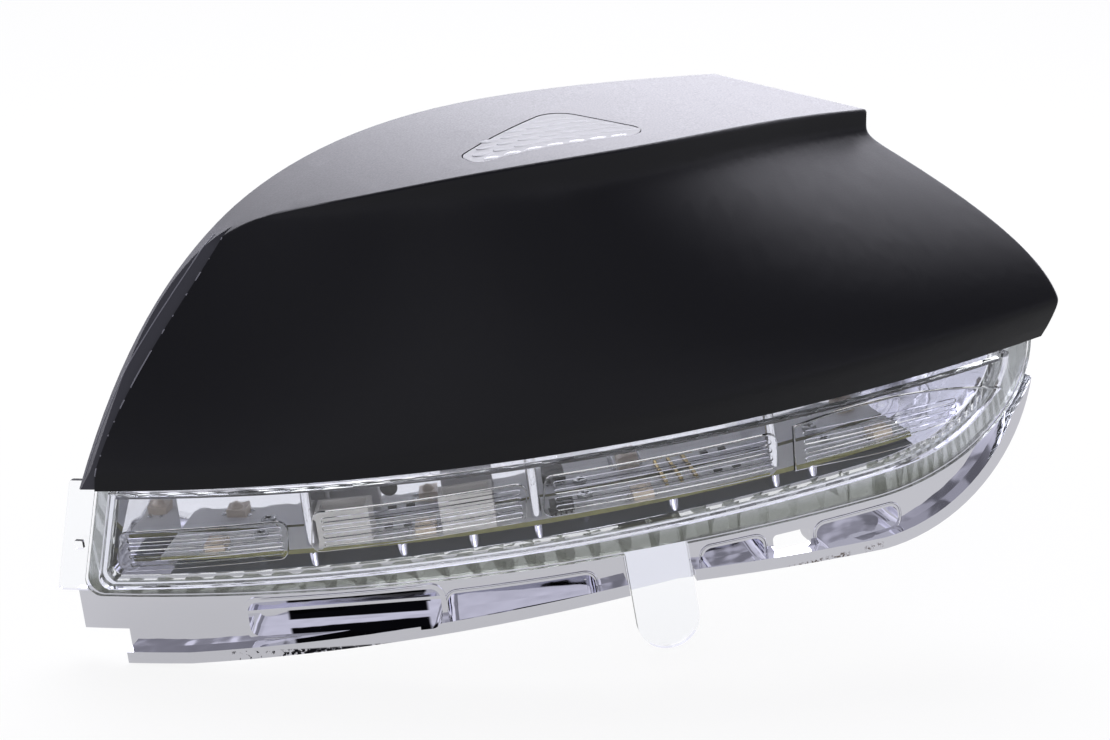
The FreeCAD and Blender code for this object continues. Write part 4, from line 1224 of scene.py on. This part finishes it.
@dataclass
class PuddleLight(LampAssembly):
    """The small lamp in the panel that faces the road."""

    node_slots: ClassVar[dict[str, Slot]] = {
        "puddle_lens": Slot.PUDDLE,
        "puddle_gasket": Slot.SEAL,
        "puddle_housing": Slot.PLAIN,
        "puddle_reflector": Slot.CHROME,
        "puddle_board": Slot.BOARD,
        "puddle_led": Slot.LIGHT,
        "puddle_screws": Slot.SCREW,
        "puddle_socket": Slot.PLAIN,
        "puddle_pins": Slot.PIN,
    }
    facet_count: int = 8
    facet_size: tuple[float, float, float] = (6.2, 2.6, 1.3)
    facet_proud: float = 0.16
    facet_left: Span = (-16.4, -31.4)
    facet_right: Span = (26.6, -36.6)
    row_count: int = 5
    row_gap: float = 3.9
    row_size: tuple[float, float, float] = (8.6, 3.0, 0.9)
    # Corners inside which a whole pillow fits on the lens.
    outline: tuple[Span, ...] = ((-18.0, -25.0), (17.0, -9.5), (28.0, -36.0), (-18.0, -31.5))
    ray_start: float = 100.0

    def inside(self, spot: Vector) -> bool:
        """Say whether a pillow's middle lies inside the outline.

        Args:
            spot: The middle, in millimetres.

        Returns:
            True where a ray from the spot crosses the outline an odd number of times.
        """
        crossings = 0
        for (x1, y1), (x2, y2) in zip(self.outline, self.outline[1:] + self.outline[:1]):
            if (y1 > spot.y) != (y2 > spot.y):
                crossings += spot.x < x1 + (spot.y - y1) / (y2 - y1) * (x2 - x1)
        return crossings % 2 == 1

    def on_lens(self, lens: BVHTree, spot: Vector, height: float) -> Vector | None:
        """Point that lets a pillow stand just proud of the lens's upper face.

        Args:
            lens: The lens's faces.
            spot: The pillow's middle, in millimetres.
            height: The pillow's height.

        Returns:
            The pillow's middle in metres, or nothing past the lens's edge.
        """
        start = Vector((spot.x * MM, spot.y * MM, self.ray_start * MM))
        hit = lens.ray_cast(start, Vector((0, 0, -1)))[0]
        if hit is None:
            return None
        return hit - Vector((0, 0, (height / 2 - self.facet_proud) * MM))

    def detail(self) -> list[Piece]:
        """Make the pillow optics: a bright row along the front edge and finer rows behind it.

        Returns:
            The front row and the other rows, as two pieces.
        """
        lens = faces_of("puddle_lens")
        left = Vector(self.facet_left)
        along = Vector(self.facet_right) - left
        turn = math.atan2(along.y, along.x)
        across = Vector((-along.y, along.x)).normalized()
        front = [left + along * ((index + 0.5) / self.facet_count)
                 for index in range(self.facet_count)]
        spots = [left + along * ((index + 0.5 * (row % 2)) / self.facet_count)
                 + across * (row * self.row_gap)
                 for row in range(1, self.row_count + 1) for index in range(self.facet_count)]
        rows = [spot for spot in spots if self.inside(spot)]
        pieces = []
        for name, slot, size, chosen in (
                ("puddle_facets", Slot.FACET, self.facet_size, front),
                ("puddle_pillows", Slot.PUDDLE, self.row_size, rows)):
            found = [self.on_lens(lens, spot, size[2]) for spot in chosen]
            points = [point for point in found if point is not None]
            studs = Studs(self.paints.of(slot), Slot.PUDDLE, size)
            pieces.append(studs.make(name, points, [turn] * len(points)))
        return pieces


@dataclass(frozen=True)
class SoftLamp:
    """A square soft lamp: its place and its side in metres, and its power in watts."""

    name: str
    place: tuple[float, float, float]
    side: float
    power: float


@dataclass
class Studio:
    """Pale floor, a bright backdrop with a dim room before it, and the photograph's camera."""

    # Metres, in the part's frame.
    camera_place: tuple[float, float, float] = (-0.43891, -0.73881, 0.21897)
    camera_target: tuple[float, float, float] = (0.01594, -0.01089, -0.05166)
    camera_lens: float = 116.76
    sensor_width: float = 36.0
    camera_near: float = 10.0
    lamps: tuple[SoftLamp, ...] = (
        SoftLamp("top_panel", (0.25, 0.35, 0.75), 0.7, 5.0),
        SoftLamp("front_fill", (-0.5, -0.8, 0.45), 0.6, 2.0),
    )
    floor_gap: float = 0.5
    floor_size: float = 3000.0
    floor_paint: str = "#f2f2f2"
    # Share of white that camera, glossy and clear rays see over the shadow.
    floor_white: float = 0.86
    mirrored_floor: float = 0.58
    # Way to the backdrop, and how bright mirrors see it by how far a ray points there.
    back: tuple[float, float, float] = (0.53, 0.85, 0.12)
    glow: tuple[Span, ...] = ((0.0, 0.0), (0.3, 0.9), (0.6, 3.4), (0.85, 4.6), (1.0, 4.6))
    # White cards in the room before the object, and the gaps between them.
    cards: Span = (0.4, 1.1)
    card_scale: float = 4.0
    card_edges: Span = (0.42, 0.52)
    ceiling: float = 0.4
    ceiling_rise: Span = (0.1, 0.55)
    # Light that reaches the inside of the lamp through the lens.
    lamp_light: float = 1.7
    backdrop_edge: Span = (-0.2, 0.4)
    ambient: float = 0.75
    tint: str = "#f1f0fb"

    def front_room(self, tree: Tree, way: Socket) -> Socket:
        """Brightness of the white cards before the object and of the gaps between them.

        Args:
            tree: The world's tree.
            way: Where a ray points.

        Returns:
            The strength of the light from that way.
        """
        noise = add_node(tree, "ShaderNodeTexNoise", {"Scale": self.card_scale, "Detail": 1.5},
                         {"Vector": way})
        cards = add_node(tree, "ShaderNodeMapRange",
                         {"interpolation_type": "SMOOTHSTEP", "From Min": self.card_edges[0],
                          "From Max": self.card_edges[1], "To Min": self.cards[0],
                          "To Max": self.cards[1]}, {"Value": noise.outputs["Fac"]})
        height = add_node(tree, "ShaderNodeSeparateXYZ", {}, {0: way}).outputs["Z"]
        above = add_node(tree, "ShaderNodeMapRange",
                         {"From Min": self.ceiling_rise[0], "From Max": self.ceiling_rise[1],
                          "To Min": 1.0, "To Max": self.ceiling}, {"Value": height})
        return Masks(tree).every(cards.outputs[0], above.outputs[0])

    def mirrored_room(self, tree: Tree, front: Socket, facing: Socket) -> Socket:
        """Brightness of the room as glossy surfaces see it: the cards, and blown out behind.

        Args:
            tree: The world's tree.
            front: Brightness of the cards.
            facing: How far the ray points towards the bright backdrop, from -1 to 1.

        Returns:
            The strength of the light from that way.
        """
        rises = [add_node(tree, "ShaderNodeMapRange",
                          {"From Min": start, "From Max": end, "To Min": 0.0,
                           "To Max": bright - dim}, {"Value": facing}).outputs[0]
                 for (start, dim), (end, bright) in zip(self.glow, self.glow[1:])]
        return Masks(tree).chain("ADD", front, *rises)

    def world(self) -> None:
        """White to the camera and through the lens, even and soft for diffuse light."""
        world = bpy.data.worlds.new("studio_tent")
        world.use_nodes = True
        tree = world.node_tree
        tree.nodes.clear()
        masks = Masks(tree)
        rays = add_node(tree, "ShaderNodeLightPath").outputs
        way = add_node(tree, "ShaderNodeTexCoord").outputs["Generated"]
        facing = add_node(tree, "ShaderNodeVectorMath",
                          {"operation": "DOT_PRODUCT", 1: Vector(self.back).normalized()},
                          {0: way}).outputs["Value"]
        front = self.front_room(tree, way)
        behind = masks.rise(facing, *self.backdrop_edge)
        room = add_node(tree, "ShaderNodeMath", {"operation": "MULTIPLY", 1: self.lamp_light},
                        {0: front})
        passing = add_node(tree, "ShaderNodeMix", {"data_type": "FLOAT", 3: 1.0},
                           {0: behind, 2: room.outputs[0]})
        clear = masks.either(rays["Is Transmission Ray"], rays["Is Singular Ray"])
        strength = add_node(tree, "ShaderNodeMix", {"data_type": "FLOAT", 2: self.ambient},
                            {0: rays["Is Glossy Ray"],
                             3: self.mirrored_room(tree, front, facing)})
        strength = add_node(tree, "ShaderNodeMix", {"data_type": "FLOAT"},
                            {0: clear, 2: strength.outputs[0], 3: passing.outputs[0]})
        strength = add_node(tree, "ShaderNodeMix", {"data_type": "FLOAT", 3: 1.0},
                            {0: rays["Is Camera Ray"], 2: strength.outputs[0]})
        colour = add_node(tree, "ShaderNodeMix",
                          {"data_type": "RGBA", 6: linear(self.tint), 7: linear("#ffffff")},
                          {0: rays["Is Camera Ray"]})
        background = add_node(tree, "ShaderNodeBackground", {},
                              {"Color": colour.outputs[2], "Strength": strength.outputs[0]})
        add_node(tree, "ShaderNodeOutputWorld", {}, {"Surface": background.outputs[0]})
        # Sampled directly, the world would ignore the kinds of ray above.
        world.cycles.sampling_method = "NONE"
        bpy.context.scene.world = world

    def floor(self) -> None:
        """Large white floor just under the object, which keeps a faint shadow."""
        low = CAD_BOX[0][2] - self.floor_gap * MM
        half = self.floor_size * MM / 2
        mesh = bpy.data.meshes.new("floor")
        corners = [(-half, -half, low), (half, -half, low), (half, half, low), (-half, half, low)]
        mesh.from_pydata(corners, [], [(0, 1, 2, 3)])
        floor = bpy.data.objects.new("floor", mesh)
        bpy.context.scene.collection.objects.link(floor)
        material = bpy.data.materials.new("white_sweep")
        material.use_nodes = True
        tree = material.node_tree
        tree.nodes.clear()
        masks = Masks(tree)
        rays = add_node(tree, "ShaderNodeLightPath").outputs
        lit = add_node(tree, "ShaderNodeBsdfDiffuse", {"Color": linear(self.floor_paint)})
        # Rays bent by clear pieces count as glossy too, and those see the floor at full white.
        mirrored = masks.chain("SUBTRACT", rays["Is Glossy Ray"], rays["Is Transmission Ray"])
        level = add_node(tree, "ShaderNodeMapRange",
                         {"To Min": 1.0, "To Max": self.mirrored_floor}, {"Value": mirrored})
        white = add_node(tree, "ShaderNodeEmission", {"Color": linear("#ffffff")},
                         {"Strength": level.outputs[0]})
        seen = masks.either(rays["Is Camera Ray"], rays["Is Glossy Ray"],
                            rays["Is Transmission Ray"])
        share = add_node(tree, "ShaderNodeMath", {"operation": "MULTIPLY", 1: self.floor_white},
                         {0: seen})
        mix = add_node(tree, "ShaderNodeMixShader", {},
                       {0: share.outputs[0], 1: lit.outputs[0], 2: white.outputs[0]})
        add_node(tree, "ShaderNodeOutputMaterial", {}, {"Surface": mix.outputs[0]})
        mesh.materials.append(material)

    def place(self, name: str, data: bpy.types.ID, where: tuple[float, float, float]) -> Piece:
        """Stand a lamp or the camera somewhere, aimed at the object.

        Args:
            name: The object's name.
            data: The lamp's or camera's data.
            where: Its place, in metres.

        Returns:
            The object.
        """
        thing = bpy.data.objects.new(name, data)
        thing.location = where
        aim = Vector(self.camera_target) - Vector(where)
        thing.rotation_euler = aim.to_track_quat("-Z", "Y").to_euler()
        bpy.context.scene.collection.objects.link(thing)
        return thing

    def lamp(self, lamp: SoftLamp) -> None:
        """Add one soft lamp, which polished surfaces and the camera don't see.

        Args:
            lamp: Its name, place, side and power.
        """
        data = bpy.data.lights.new(lamp.name, "AREA")
        data.size = lamp.side
        data.energy = lamp.power
        panel = self.place(lamp.name, data, lamp.place)
        panel.visible_glossy = False
        panel.visible_camera = False

    def camera(self) -> None:
        """Add the camera at the photograph's angle."""
        data = bpy.data.cameras.new("camera")
        data.lens = self.camera_lens
        data.sensor_width = self.sensor_width
        data.sensor_fit = "HORIZONTAL"
        data.clip_start = self.camera_near * MM
        bpy.context.scene.camera = self.place("camera", data, self.camera_place)

    def build(self) -> None:
        """Set up the whole studio."""
        self.world()
        self.floor()
        for lamp in self.lamps:
            self.lamp(lamp)
        self.camera()
        bpy.context.scene.view_settings.view_transform = "Standard"


def main() -> None:
    """Build the studio, dress each assembly, add the fine pieces and log each piece's face count.
    """
    logging.basicConfig(level=logging.INFO, format="%(message)s")
    Studio().build()
    paints = Paints()
    for kind in (MirrorCover, LampStrip, CircuitDeck, PuddleLight):
        assembly = kind(paints)
        for piece in assembly.dress() + assembly.detail():
            LOG.info("%s: %s, %d faces", kind.__name__, piece.name, len(piece.data.polygons))


if __name__ == "__main__":
    main()
